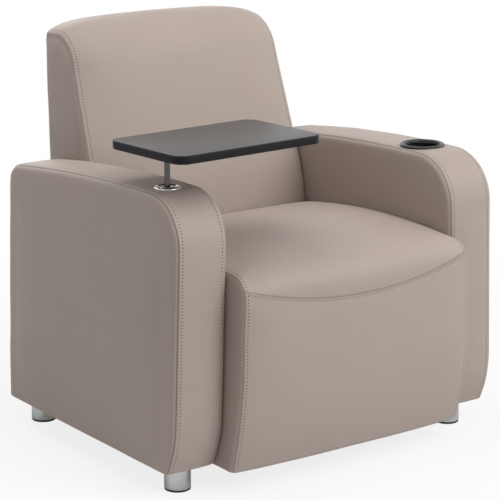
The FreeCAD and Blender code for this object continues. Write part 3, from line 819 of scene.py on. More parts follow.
class Outline:
    """A drawn side view of straight runs and arcs, read off by its length."""

    def __init__(self, start: Point) -> None:
        """Starts at a (y, z) point."""
        self.points = [Vector(start)]
        self.lengths = [0.0]

    def line(self, end: Point) -> "Outline":
        """Adds a straight run.

        Args:
            end: Its last point.

        Returns:
            The outline.
        """
        point = Vector(end)
        self.lengths.append(self.lengths[-1] + (point - self.points[-1]).length)
        self.points.append(point)
        return self

    def arc(self, through: Point, end: Point, runs: int = 40) -> "Outline":
        """Adds an arc.

        Args:
            through: A point on the way.
            end: The last point.
            runs: How many short runs it is made of.

        Returns:
            The outline.
        """
        a, b, c = self.points[-1].copy(), Vector(through), Vector(end)
        turn = 2.0 * ((b - a).cross(c - a))
        ab, ac = (b - a).length_squared, (c - a).length_squared
        centre = a + Vector(((c - a).y * ab - (b - a).y * ac, (b - a).x * ac - (c - a).x * ab)) / turn
        first = math.atan2(*reversed(a - centre))
        sweep = (math.atan2(*reversed(c - centre)) - first) % math.tau
        if turn < 0.0:
            sweep -= math.tau
        radius = (a - centre).length
        for step in range(1, runs + 1):
            angle = first + sweep * step / runs
            self.line(centre + radius * Vector((math.cos(angle), math.sin(angle))))
        return self

    @property
    def length(self) -> float:
        """The whole length."""
        return self.lengths[-1]

    def at(self, length: float) -> Vector:
        """Reads off a point.

        Args:
            length: The length along the outline.

        Returns:
            The point there.
        """
        length = min(max(length, 0.0), self.length)
        i = min(max(bisect.bisect_left(self.lengths, length), 1), len(self.points) - 1)
        share = (length - self.lengths[i - 1]) / max(self.lengths[i] - self.lengths[i - 1], 1e-9)
        return self.points[i - 1].lerp(self.points[i], share)

    def normal(self, length: float, reach: float = 0.004) -> Vector:
        """The outward direction at a length along the outline."""
        run = (self.at(length + reach) - self.at(length - reach)).normalized()
        return Vector((run.y, -run.x))

    def where(self, test: Callable[[Vector], bool]) -> float:
        """Finds where the last stretch that passes a test begins.

        Args:
            test: Says of a point whether it passes.

        Returns:
            The length along the outline.
        """
        i = len(self.points) - 1
        while i > 0 and test(self.points[i]):
            i -= 1
        low, high = self.lengths[i], self.lengths[min(i + 1, len(self.points) - 1)]
        for _ in range(30):
            middle = (low + high) / 2.0
            if test(self.at(middle)):
                high = middle
            else:
                low = middle
        return high


class Row(NamedTuple):
    """One row of a wrap: its (y, z) point, the outward direction, and how deep it is pressed in."""

    point: Vector
    normal: Vector
    sink: float


@dataclass
class SewnBlock:
    """A foam block in a sewn cover: a wrap of panels over its outline, and two side panels."""

    name: str
    nodes: tuple[str, ...]
    bottom: float
    span: float
    rows: dict[Panel, int]
    spine: Point
    roll: float = 0.010
    mesh: float = 0.0125
    rings: int = 26
    ring_steps: Point = (0.014, 0.028)
    corner_shares: tuple[float, ...] = (0.0, 0.33, 0.66, 1.0)
    puff: float = 0.006
    tight: float = 0.0015
    tight_panels: tuple[Panel, ...] = (Panel.INNER_SIDE, Panel.OUTER_SIDE)
    camber: float = 0.0
    tuck: float = 0.0005
    pressure: float = 4.0
    fill: float = 0.8
    easing: int = 0
    seam_angle: float = 60.0
    seam_width: float = 0.0012
    seam_depth: float = 0.0013
    # How strongly the finish paints shade into the seams' grooves.
    seam_tone: float = 1.0
    hem: float = 0.018
    foot_round: float = 0.005
    foot_steps: int = 4
    slack: float = 0.0012
    slack_size: float = 0.08
    stitch_gap: float = 0.0072
    drill_sides: int = 64
    smooth_angle: float = 60.0

    def edges(self, y: float, z: float) -> tuple[float, float]:
        """The x of both sides at a depth and height, the outer or left one first."""
        raise NotImplementedError

    def outline(self, across: float) -> tuple[Outline, list[float]]:
        """The side view at a place across the block.

        Args:
            across: From -1 at the first side to 1 at the other.

        Returns:
            The outline from the rear foot over the top to the front foot, and the lengths at which
            its panels start and end.
        """
        raise NotImplementedError

    def corner(self, degrees: float) -> Point:
        """A point of the soft corner where a side panel meets the wrap.

        Args:
            degrees: 0 on the side panel and 90 on the wrap, with the seam between them.

        Returns:
            How far it lies in from the side and from the wrap, with the seam pressed in.
        """
        angle = math.radians(degrees)
        sink = self.seam_depth * SLANT if degrees == self.seam_angle else 0.0
        return self.roll * (1.0 - math.cos(angle)) + sink, self.roll * (1.0 - math.sin(angle)) + sink

    @property
    def seam_step(self) -> float:
        """The angle on the soft corner that half the seam's width takes up, in degrees."""
        return math.degrees(self.seam_width / self.roll)

    def share_across(self, inset: float) -> float:
        """Where an inset from the first side lies across the block, from -1 to 1."""
        return 2.0 * inset / self.span - 1.0

    def from_first(self, panel: Panel, inset: float) -> float:
        """The inset from the first side, of a place that is given from a side panel's own plane."""
        return inset if panel is Panel.OUTER_SIDE else self.span - inset

    def columns(self) -> list[Point]:
        """Lays out the columns of the wrap.

        Returns:
            The inset of each from the first side, and how far it falls away there.
        """
        start = self.seam_angle + self.seam_step
        angles = [self.seam_angle] + [start + (90.0 - start) * share for share in self.corner_shares]
        edge = [self.corner(angle) for angle in angles]
        inner = self.span - 2.0 * self.roll
        count = max(2, round(inner / self.mesh))
        middle = [(self.roll + inner * i / count, 0.0) for i in range(1, count)]
        return edge + middle + [(self.span - inset, drop) for inset, drop in reversed(edge)]

    def row_lengths(self, breaks: Sequence[float]) -> list[tuple[float, float]]:
        """Lays out the rows of the wrap.

        Args:
            breaks: The lengths along an outline at which its panels start and end.

        Returns:
            The length of each row, and how deep it is pressed in.
        """
        last = len(breaks) - 2
        rows = []
        for k, (count, start, end) in enumerate(zip(self.rows.values(), breaks, breaks[1:])):
            low = start + (self.seam_width if k > 0 else 0.0)
            high = end - (self.seam_width if k < last else 0.0)
            rows += [(low + (high - low) * i / count, 0.0) for i in range(count + 1)]
            if k < last:
                rows.append((end, self.seam_depth))
        return rows

    def row_panels(self) -> list[Panel]:
        """Tells the runs between the rows apart.

        Returns:
            The panel that each run is part of.
        """
        last = len(self.rows) - 1
        runs = []
        for k, (panel, count) in enumerate(self.rows.items()):
            runs += [panel] * (count + (k > 0) + (k < last))
        return runs

    def row_places(self, across: float) -> list[Row]:
        """Puts the rows on the outline.

        Args:
            across: The place across the block, from -1 at the first side to 1 at the other.

        Returns:
            The rows, level at both feet.
        """
        outline, breaks = self.outline(across)
        rows = [Row(outline.at(s), outline.normal(s), sink) for s, sink in self.row_lengths(breaks)]
        for foot in (0, -1):
            level = Vector((math.copysign(1.0, rows[foot].normal.x), 0.0))
            rows[foot] = Row(rows[foot].point, level, 0.0)
        return rows

    def put(self, inset: float, drop: float, row: Row) -> Vector:
        """A place on the block.

        Args:
            inset: How far in from the first side plane.
            drop: How far below the outline.
            row: The row of the wrap.

        Returns:
            The place in the chair.
        """
        across = self.share_across(inset)
        low = row.point - row.normal * (drop + self.tuck - self.camber * (1.0 - across ** 2))
        first, second = self.edges(low.x, low.y)
        return Vector((first + (second - first) * inset / self.span, low.x, low.y))

    def grid(self, name: str, places: Sequence[Sequence[Vector]], panels: Sequence[Panel]) -> Bench:
        """One flat cut panel, or several in a row, moved to their places.

        Args:
            name: The working name.
            places: Places by row and column.
            panels: Which panel each run of rows is.

        Returns:
            The bench with the panel.
        """
        across, along = len(places[0]) - 1, len(places) - 1
        add = bpy.ops.mesh.primitive_grid_add
        bench = Bench(name, add, x_subdivisions=across, y_subdivisions=along, size=1.0)
        mesh = bench.piece.data
        for vertex, place in zip(mesh.vertices, (place for row in places for place in row)):
            vertex.co = place
        label = mesh.attributes.new("panel", "INT", "FACE")
        for face in mesh.polygons:
            label.data[face.index].value = panels[face.index // across].value
        return bench

    def wrap(self) -> Bench:
        """Makes the panels over the outline.

        Returns:
            The bench with the panels.
        """
        columns = self.columns()
        spread = [self.row_places(self.share_across(inset)) for inset, _ in columns]
        places = []
        for rows in zip(*spread):
            line = [self.put(inset, drop + row.sink, row) for (inset, drop), row in zip(columns, rows)]
            places.append(line)
        return self.grid("wrap", places, self.row_panels())

    def side_panel(self, panel: Panel) -> Bench:
        """Makes one side panel: rings that follow the seam, then rays down to the foot.

        Args:
            panel: Which side it is.

        Returns:
            The bench with the panel.
        """
        outer = panel is Panel.OUTER_SIDE
        inset, drop = self.corner(self.seam_angle)
        seam = self.from_first(panel, inset)
        at_seam = self.row_places(self.share_across(seam))
        places = [[self.put(seam, drop + row.sink, row) for row in at_seam]]
        rows = self.row_places(-1.0 if outer else 1.0)
        end = self.seam_angle - self.seam_step
        rings = [self.corner(angle) for angle in (end, end * 0.5, 0.0)]
        rings += [(0.0, self.roll + step) for step in self.ring_steps]
        for inset, drop in rings:
            places.append([self.put(self.from_first(panel, inset), drop, row) for row in rows])
        start, end = self.spine
        heels = [Vector((place.y, place.z)) for place in places[-1]]
        for ring in range(1, self.rings + 1):
            line = []
            for j, heel in enumerate(heels):
                foot = Vector((start + (end - start) * j / (len(heels) - 1), self.bottom))
                point = heel.lerp(foot, ring / self.rings)
                line.append(Vector((self.edges(point.x, point.y)[0 if outer else 1], point.x, point.y)))
            places.append(line)
        return self.grid("side", places, [panel] * (len(places) - 1))

    def sew(self) -> Bench:
        """Joins the panels at their seams.

        Returns:
            The bench with the open cover.
        """
        parts = [self.side_panel(Panel.OUTER_SIDE).piece, self.side_panel(Panel.INNER_SIDE).piece]
        bench = self.wrap()
        for part in parts:
            part.select_set(True)
        bpy.context.view_layer.objects.active = bench.piece
        bpy.ops.object.join()
        bench.piece.name = self.name
        bench.piece.data.name = self.name
        bench.tidy()
        return bench

    @staticmethod
    def is_seam(edge: bmesh.types.BMEdge, label: bmesh.types.BMLayerItem) -> bool:
        """Whether two different panels meet at an edge."""
        return len(edge.link_faces) == 2 and edge.link_faces[0][label] != edge.link_faces[1][label]

    def cap(self, place: Vector, panels: set[Panel]) -> float:
        """How far the cover may swell at a place on one or more panels."""
        return self.tight if panels.intersection(self.tight_panels) else self.puff

    def limits(self, piece: bpy.types.Object) -> tuple[list[float], set[int]]:
        """Looks up how far the cover may swell.

        Args:
            piece: The open cover.

        Returns:
            The cap of each vertex, and the vertices that a seam or the foot holds.
        """
        drawn = bmesh.new()
        drawn.from_mesh(piece.data)
        label = drawn.faces.layers.int["panel"]
        held = set()
        caps = []
        for vertex in drawn.verts:
            panels = {Panel(face[label]) for face in vertex.link_faces}
            caps.append(self.cap(vertex.co, panels))
        for edge in drawn.edges:
            if edge.is_boundary or self.is_seam(edge, label):
                held.update(vertex.index for vertex in edge.verts)
        drawn.free()
        return caps, held

    def swell(self, bench: Bench) -> None:
        """Blows the panels out against their seams, as foam does, by a cloth simulation.

        Args:
            bench: The bench with the open cover.
        """
        piece = bench.piece
        caps, held = self.limits(piece)
        pins = piece.vertex_groups.new(name="sewn")
        pins.add(sorted(held), 1.0, "REPLACE")
        rest = [vertex.co.copy() for vertex in piece.data.vertices]
        cloth = piece.modifiers.new("Cloth", "CLOTH")
        for key, value in SWELL_CLOTH.items():
            setattr(cloth.settings, key, value)
        cloth.settings.uniform_pressure_force = self.pressure
        cloth.settings.vertex_group_mass = pins.name
        cloth.settings.effector_weights.gravity = 0.0
        cloth.collision_settings.use_collision = False
        scene = bpy.context.scene
        for step in range(1, SWELL_FRAMES + 1):
            scene.frame_set(step)
        bpy.context.view_layer.objects.active = piece
        bpy.ops.object.modifier_apply(modifier=cloth.name)
        scene.frame_set(1)
        moves = []
        for vertex, start, cap in zip(piece.data.vertices, rest, caps):
            move = vertex.co - start
            moves.append(move * (cap * math.tanh(move.length / cap) / max(move.length, 1e-7)))
        for vertex, start, move in zip(piece.data.vertices, rest, self.ease(piece, moves, held)):
            vertex.co = start + move
        piece.vertex_groups.clear()

    def ease(self, piece: bpy.types.Object, moves: Sequence[Vector], held: set[int]) -> list[Vector]:
        """Evens out how far neighbouring places have swelled, so that no fold is left at a corner.

        Args:
            piece: The cover.
            moves: How far each vertex has moved.
            held: The vertices that stay.

        Returns:
            The moves, evened out.
        """
        pairs = np.array([edge.vertices[:] for edge in piece.data.edges])
        counts = np.bincount(pairs.ravel(), minlength=len(moves))[:, None]
        eased = np.array(moves)
        for _ in range(self.easing):
            beside = np.zeros_like(eased)
            np.add.at(beside, pairs[:, 0], eased[pairs[:, 1]])
            np.add.at(beside, pairs[:, 1], eased[pairs[:, 0]])
            eased = (eased + beside / counts) / 2.0
            eased[sorted(held)] = 0.0
        return [Vector(move) for move in eased]

    def close_underside(self, bench: Bench) -> None:
        """Folds the cover under and closes it with a dust cloth.

        Args:
            bench: The bench with the cover.
        """
        bench.select("EDGE", lambda edge: edge.is_boundary)
        drawn = bmesh.from_edit_mesh(bench.piece.data)
        rim = [vertex.co.copy() for vertex in drawn.verts if vertex.select]
        low = Vector([min(place[axis] for place in rim) for axis in range(3)])
        high = Vector([max(place[axis] for place in rim) for axis in range(3)])
        size, middle = high - low, (high + low) / 2.0
        turns = [math.pi / 2.0 * k / self.foot_steps for k in range(self.foot_steps + 1)]
        for start, end in zip(turns, turns[1:]):
            drop = self.foot_round * (math.sin(end) - math.sin(start))
            self.draw_in(self.foot_round * (math.cos(start) - math.cos(end)), drop, size, middle)
        self.draw_in(self.hem, 0.0, size, middle)
        bpy.ops.mesh.edge_face_add()
        drawn = bmesh.from_edit_mesh(bench.piece.data)
        for face in drawn.faces:
            if face.select:
                face.material_index = 1
        bmesh.update_edit_mesh(bench.piece.data)
        bench.leave()

    @staticmethod
    def draw_in(inset: float, drop: float, size: Vector, middle: Vector) -> None:
        """Extrudes the selected rim inwards and down.

        Args:
            inset: How far in.
            drop: How far down.
            size: The rim's size.
            middle: Its middle.
        """
        shrink = (1.0 - 2.0 * inset / size.x, 1.0 - 2.0 * inset / size.y, 1.0)
        bpy.ops.mesh.extrude_region()
        bpy.ops.transform.translate(value=(0.0, 0.0, -drop))
        bpy.ops.transform.resize(value=shrink, center_override=middle)

    def slacken(self, bench: Bench) -> None:
        """Gives the cover the faint unevenness of leather over foam.

        Args:
            bench: The bench with the cover.
        """
        waves = bpy.data.textures.new(self.name + "_slack", "CLOUDS")
        waves.noise_scale = self.slack_size
        waves.noise_depth = 1
        settings = {"texture": waves, "texture_coords": "LOCAL", "strength": self.slack, "mid_level": 0.5}
        bench.modify("DISPLACE", **settings)

    def mark_seam_shade(self, bench: Bench) -> None:
        """Records where the seams' grooves are, so the finish can paint shade there.

        Args:
            bench: The bench with the cover.
        """
        drawn = bmesh.new()
        drawn.from_mesh(bench.piece.data)
        label = drawn.faces.layers.int["panel"]
        shade_mark = drawn.verts.layers.float.new("seam")
        for edge in drawn.edges:
            if self.is_seam(edge, label):
                for vertex in edge.verts:
                    # Painted shade: the finish darkens the groove's colour by this value.
                    vertex[shade_mark] = self.seam_tone
        drawn.to_mesh(bench.piece.data)
        drawn.free()

    def cuts(self) -> list[tuple[float, float, float, float, float]]:
        """Round holes as (x, y, radius, low, high)."""
        return []

    def cut_holes(self, bench: Bench) -> None:
        """Cuts the round holes for fittings.

        Args:
            bench: The bench with the cover.
        """
        for x, y, radius, low, high in self.cuts():
            size = {"vertices": self.drill_sides, "radius": radius, "depth": high - low}
            add = bpy.ops.mesh.primitive_cylinder_add
            drill = Bench("drill", add, location=(x, y, (low + high) / 2.0), **size)
            drill.settle()
            bench.modify("BOOLEAN", operation="DIFFERENCE", solver="EXACT", object=drill.piece)
            bpy.data.objects.remove(drill.piece)

    def build(self, finishes: Finishes) -> list[bpy.types.Object]:
        """Makes the whole cover and dresses it.

        Args:
            finishes: The chair's finishes.

        Returns:
            The cover, its stitching and the dark discs of painted shade at the needle holes.
        """
        bench = self.sew()
        self.swell(bench)
        self.mark_seam_shade(bench)
        bench.modify("SUBSURF", levels=1, render_levels=1)
        self.slacken(bench)
        self.close_underside(bench)
        self.cut_holes(bench)
        cover = bench.smooth(self.smooth_angle)
        finishes.dress(cover, "upholstery", "dust_cloth")
        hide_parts(*self.nodes)
        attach(cover, "chair")
        return [cover] + self.stitch(cover, finishes)

    def stitch_paths(self) -> list[list[Vector]]:
        """Draws the rows of top stitching.

        Returns:
            The points of each row, close to the cover.
        """
        paths = []
        inset = self.corner(self.seam_angle)[0] + self.stitch_gap
        for place in (inset, self.span - inset):
            rows = self.row_places(self.share_across(place))
            paths.append([self.put(place, 0.0, row) for row in rows])
        return paths

    def stitch(self, cover: bpy.types.Object, finishes: Finishes) -> list[bpy.types.Object]:
        """Sews the top stitching along its rows.

        Args:
            cover: The finished cover.
            finishes: The chair's finishes.

        Returns:
            The thread and the dark discs of painted shade at the needle holes.
        """
        thread = TopStitch(self.name + "_stitching")
        # Painted shade: dark discs between the stitches stand in for the shadow in the needle holes.
        hole = {"length": 0.0025, "width": 0.0022, "height": 0.0005, "phase": 1.0}
        holes = TopStitch(self.name + "_needle_holes", **hole)
        made = []
        for row, finish in ((thread, finishes.thread), (holes, finishes.needle_hole)):
            sewn = row.sew(cover, self.stitch_paths())
            sewn.data.materials.append(finish)
            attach(sewn, "chair")
            made.append(sewn)
        return made


@dataclass
class TopStitch:
    """A row of short stitches that lie on a cover."""

    name: str
    pitch: float = 0.0062
    length: float = 0.0040
    width: float = 0.0014
    height: float = 0.0007
    phase: float = 0.5

    def one(self) -> bmesh.types.BMesh:
        """Shapes one stitch from a low ball.

        Returns:
            The stitch, along X at the origin.
        """
        ball = {"segments": 6, "ring_count": 5, "radius": 0.5}
        bench = Bench("stitch", bpy.ops.mesh.primitive_uv_sphere_add, **ball)
        lie_down = {"value": math.pi / 2, "orient_axis": "Y", "center_override": (0, 0, 0)}
        bench.tool("VERT", None, bpy.ops.transform.rotate, **lie_down)
        bench.tool("VERT", None, bpy.ops.transform.resize, value=(self.length, self.width, self.height))
        drawn = bmesh.new()
        drawn.from_mesh(bench.piece.data)
        bpy.data.objects.remove(bench.piece)
        return drawn

    def spots(self, path: Sequence[Vector]) -> list[tuple[Vector, Vector]]:
        """Where the stitches lie on a row.

        Args:
            path: The row's points.

        Returns:
            The middle and direction of every stitch.
        """
        found = []
        carry = self.pitch * self.phase
        for start, end in zip(path, path[1:]):
            run = end - start
            while carry < run.length:
                found.append((start + run.normalized() * carry, run.normalized()))
                carry += self.pitch
            carry -= run.length
        return found

    def sew(self, cover: bpy.types.Object, paths: Iterable[Sequence[Vector]]) -> bpy.types.Object:
        """Copies the stitch along every row, snapped to the cover.

        Args:
            cover: The finished cover.
            paths: The rows.

        Returns:
            All stitches as one piece.
        """
        mesh = cover.data
        places = [vertex.co for vertex in mesh.vertices]
        surface = BVHTree.FromPolygons(places, [face.vertices for face in mesh.polygons])
        pattern = self.one()
        corners = [vertex.co.copy() for vertex in pattern.verts]
        faces = [[vertex.index for vertex in face.verts] for face in pattern.faces]
        pattern.free()
        points, polygons = [], []
        for path in paths:
            for place, run in self.spots(path):
                spot, normal, _, _ = surface.find_nearest(place)
                across = normal.cross(run).normalized()
                along = across.cross(normal)
                turn = Matrix((along, across, normal)).transposed()
                first = len(points)
                points += [spot + turn @ corner for corner in corners]
                polygons += [[first + i for i in face] for face in faces]
        made = bpy.data.meshes.new(self.name)
        made.from_pydata(points, [], polygons)
        made.polygons.foreach_set("use_smooth", [True] * len(polygons))
        piece = bpy.data.objects.new(self.name, made)
        bpy.context.scene.collection.objects.link(piece)
        return piece


@dataclass
class ArmCover(SewnBlock):
    """The padded cover of one arm."""

    side: Side = Side.LEFT
    half_span: float = 0.3948
    lean: float = 0.031
    rear: float = 0.313
    rear_top: float = 0.543
    rear_radius: float = 0.036
    crown: Point = (0.040, 0.5645)
    top: float = 0.5715
    front: float = -0.302
    front_radius: float = 0.095
    straight_end: float = 0.160
    front_curve: Point = (0.0058, 0.105)
    toe_setback: float = 0.024
    fitting: Point = field(default_factory=cup_place)
    hole: Point = (0.0384, 0.4945)
    drill_past: float = 0.05
    held: float = 0.044
    held_fade: float = 0.035
    held_above: float = 0.5
    least_puff: float = 0.0001
    free_puff: float = 0.009
    free_above_seat: Point = (0.42, 0.47)
    free_before_back: Point = (0.10, 0.16)
    outer_puff: float = 0.012

    def edges(self, y: float, z: float) -> tuple[float, float]:
        """The x of the outer and the inner face, the same at every depth."""
        outer = self.half_span - self.lean * z
        return self.side.value * outer, self.side.value * (outer - self.span)

    def outline(self, across: float) -> tuple[Outline, list[float]]:
        """Draws the side view, the same all the way across.

        Args:
            across: The place across the block, from -1 to 1; not used.

        Returns:
            The outline, and the lengths at which its panels start and end.
        """
        rear = Vector((self.rear - self.rear_radius, self.rear_top - self.rear_radius))
        nose = Vector((self.front + self.front_radius, self.top - self.front_radius))
        drawn = Outline((self.rear, self.bottom))
        drawn.line((self.rear, rear.y))
        drawn.arc(rear + self.rear_radius * Vector((SLANT, SLANT)), (rear.x, self.rear_top))
        drawn.arc(self.crown, (nose.x, self.top))
        drawn.arc(nose + self.front_radius * Vector((-SLANT, SLANT)), (self.front, nose.y))
        drawn.line((self.front, self.straight_end))
        middle = (self.front + self.front_curve[0], self.front_curve[1])
        drawn.arc(middle, (self.front + self.toe_setback, self.bottom))
        return drawn, [0.0, drawn.length]

    def cuts(self) -> list[tuple[float, float, float, float, float]]:
        """The hole for the cup or for the tablet's socket."""
        radius, low = self.hole
        return [(*self.fitting, radius, low, self.top + self.drill_past)]

    def cap(self, place: Vector, panels: set[Panel]) -> float:
        """Lets the arm swell outside and above the seat, and holds it down round the fitting.

        Args:
            place: A place on the cover.
            panels: The panels that meet there.

        Returns:
            How far it may swell.
        """
        cap = self.outer_puff if panels == {Panel.OUTER_SIDE} else super().cap(place, panels)
        if Panel.INNER_SIDE in panels:
            free = ramp(place.z, *self.free_above_seat) * (1.0 - ramp(place.y, *self.free_before_back))
            cap += (self.free_puff - cap) * free
        if place.z <= self.held_above:
            return cap
        away = (Vector(self.fitting) - place.xy).length
        return max(cap * ramp(away, self.held, self.held + self.held_fade), self.least_puff)


@dataclass
class SeatCover(SewnBlock):
    """The crowned seat with its waterfall front and curved front seam."""

    half_span: float = 0.2803
    lean: float = 0.031
    rear: float = 0.156
    rear_bow: float = 0.017
    rear_top: float = 0.408
    rear_round: float = 0.014
    middle: Point = (-0.110, 0.430)
    front_top: float = 0.421
    front: float = -0.355
    front_bow: float = 0.010
    front_radius: float = 0.042
    crown: float = 0.018
    edge_crown: float = 0.008
    straight_end: float = 0.300
    front_curve: Point = (0.007, 0.150)
    toe_setback: float = 0.028
    past_arms: Point = (0.298, 0.370)
    left_bulge: float = 0.004
    right_bulge: float = 0.010
    seam_side: float = 0.402
    seam_middle: float = 0.358
    seam_gap: float = 0.005

    def edges(self, y: float, z: float) -> tuple[float, float]:
        """Lets both sides bulge past the arms' fronts.

        Args:
            y: The depth.
            z: The height.

        Returns:
            The x of the left and the right side.
        """
        half = self.half_span - self.lean * z
        past = ramp(-y, *self.past_arms)
        return -half - self.left_bulge * past, half + self.right_bulge * past

    def outline(self, across: float) -> tuple[Outline, list[float]]:
        """Draws the side view, with the seat's crown there.

        Args:
            across: The place across the block, from -1 to 1.

        Returns:
            The outline, and the lengths at which its panels start and end.
        """
        swell = 1.0 - across ** 4
        rear = self.rear - self.rear_bow * swell
        rear_top = self.rear_top + self.edge_crown * swell
        middle = (self.middle[0], self.middle[1] + self.crown * swell)
        front_top = self.front_top + self.edge_crown * swell
        face = self.front - self.front_bow * swell
        bend = Vector((face + self.front_radius, front_top - self.front_radius))
        corner = Vector((rear - self.rear_round, rear_top - self.rear_round))
        drawn = Outline((rear, self.bottom))
        drawn.line((rear, corner.y))
        drawn.arc(corner + self.rear_round * Vector((SLANT, SLANT)), (corner.x, rear_top), 12)
        rear_seam = drawn.length - self.rear_round * math.pi / 4.0
        drawn.arc(middle, (bend.x, front_top))
        drawn.arc(bend + self.front_radius * Vector((-SLANT, SLANT)), (face, bend.y))
        drawn.line((face, self.straight_end))
        drawn.arc((face + self.front_curve[0], self.front_curve[1]), (face + self.toe_setback, self.bottom))
        height = self.seam_side - (self.seam_side - self.seam_middle) * (1.0 - across ** 2)
        front_seam = drawn.where(lambda point: point.y < height)
        return drawn, [0.0, rear_seam, front_seam, drawn.length]

    def stitch_paths(self) -> list[list[Vector]]:
        """Draws the side rows, and the second row under the curved seam.

        Returns:
            The points of each row, close to the cover.
        """
        paths = super().stitch_paths()
        row = []
        for inset, drop in self.columns()[2:-2]:
            drawn, breaks = self.outline(self.share_across(inset))
            length = breaks[2] + self.seam_gap
            row.append(self.put(inset, drop, Row(drawn.at(length), drawn.normal(length), 0.0)))
        return [path[self.rows[Panel.REAR] + 2:] for path in paths] + [row]


@dataclass
class BackCover(SewnBlock):
    """The reclined back, crowned across its front and arched along its top."""

    half_span: float = 0.2803
    lean: float = 0.031
    waist: Point = (0.157, 0.455)
    waist_round: float = 0.06
    crown: float = 0.018
    side_top: float = 0.785
    rise: float = 0.039
    arch: float = 5.0
    round_start: Point = (0.250, 0.072)
    round_middle: Point = (0.275, 0.024)
    round_end: float = 0.318
    round_crown: Point = (0.6, 0.3)
    rear_top: float = 0.373
    rear_drop: float = 0.004
    rear_round: float = 0.007
    rear_bulge: float = 0.29
    rear_foot: float = 0.312

    def edges(self, y: float, z: float) -> tuple[float, float]:
        """The x of the left and the right side, the same at every depth."""
        half = self.half_span - self.lean * z
        return -half, half

    def outline(self, across: float) -> tuple[Outline, list[float]]:
        """Draws the side view, with the back's crown and arch there.

        Args:
            across: The place across the block, from -1 to 1.

        Returns:
            The outline, and the lengths at which its panels start and end.
        """
        crown = self.crown * (1.0 - across ** 2)
        top = self.side_top + self.rise * math.sqrt(max(0.0, 1.0 - abs(across) ** self.arch))
        rear_top = Vector((self.rear_top, top - self.rear_drop))
        foot = Vector((self.rear_foot, self.bottom))
        up = (rear_top - foot).normalized()
        forward = (Vector((self.round_end, top)) - rear_top).normalized()
        start = Vector((self.round_start[0] - self.round_crown[0] * crown, top - self.round_start[1]))
        middle = (self.round_middle[0] - self.round_crown[1] * crown, top - self.round_middle[1])
        waist = Vector((self.waist[0] - crown, self.waist[1]))
        drawn = Outline(foot)
        drawn.line(rear_top - up * self.rear_round)
        bulge = rear_top + (forward - up) * (self.rear_round * self.rear_bulge)
        drawn.arc(bulge, rear_top + forward * self.rear_round, 12)
        seam = drawn.length - self.rear_round * math.pi / 4.0
        drawn.line((self.round_end, top))
        drawn.arc(middle, start)
        recline = (start - waist).normalized()
        down = Vector((0.0, -1.0))
        depth = self.waist_round * math.tan((math.pi - recline.angle(down)) / 4.0)
        drawn.line(waist + recline * self.waist_round)
        drawn.arc(waist + (recline + down).normalized() * depth, waist + down * self.waist_round, 16)
        drawn.line((waist.x, self.bottom))
        return drawn, [0.0, seam, drawn.length]


@dataclass
class DustSheet:
    """The black cloth tacked under the seat and the back."""

    half_width: float = 0.259
    front: float = -0.303
    rear: float = 0.297
    level: float = 0.0449
    sag: float = 0.0012
    thick: float = 0.0006
    cells: int = 32

    def build(self, finishes: Finishes) -> list[bpy.types.Object]:
        """Stretches the sheet over the underside and dresses it.

        Args:
            finishes: The chair's finishes.

        Returns:
            The pieces.
        """
        middle = (self.front + self.rear) / 2.0
        half_length = (self.rear - self.front) / 2.0
        cut = {"x_subdivisions": self.cells, "y_subdivisions": self.cells, "size": 2.0}
        bench = Bench("dust_cloth_sheet", bpy.ops.mesh.primitive_grid_add, **cut)
        for vertex in bench.piece.data.vertices:
            x, y, _ = vertex.co
            hang = self.sag * (1.0 - x ** 2) * (1.0 - y ** 2)
            vertex.co = (x * self.half_width, middle + y * half_length, self.level - hang)
        bench.modify("SOLIDIFY", thickness=self.thick, offset=-1.0)
        sheet = finishes.fit(bench.smooth(), "dust_cloth", "dust_cover")
        flat = (2.0 * self.half_width, 2.0 * half_length)
        return [sheet]


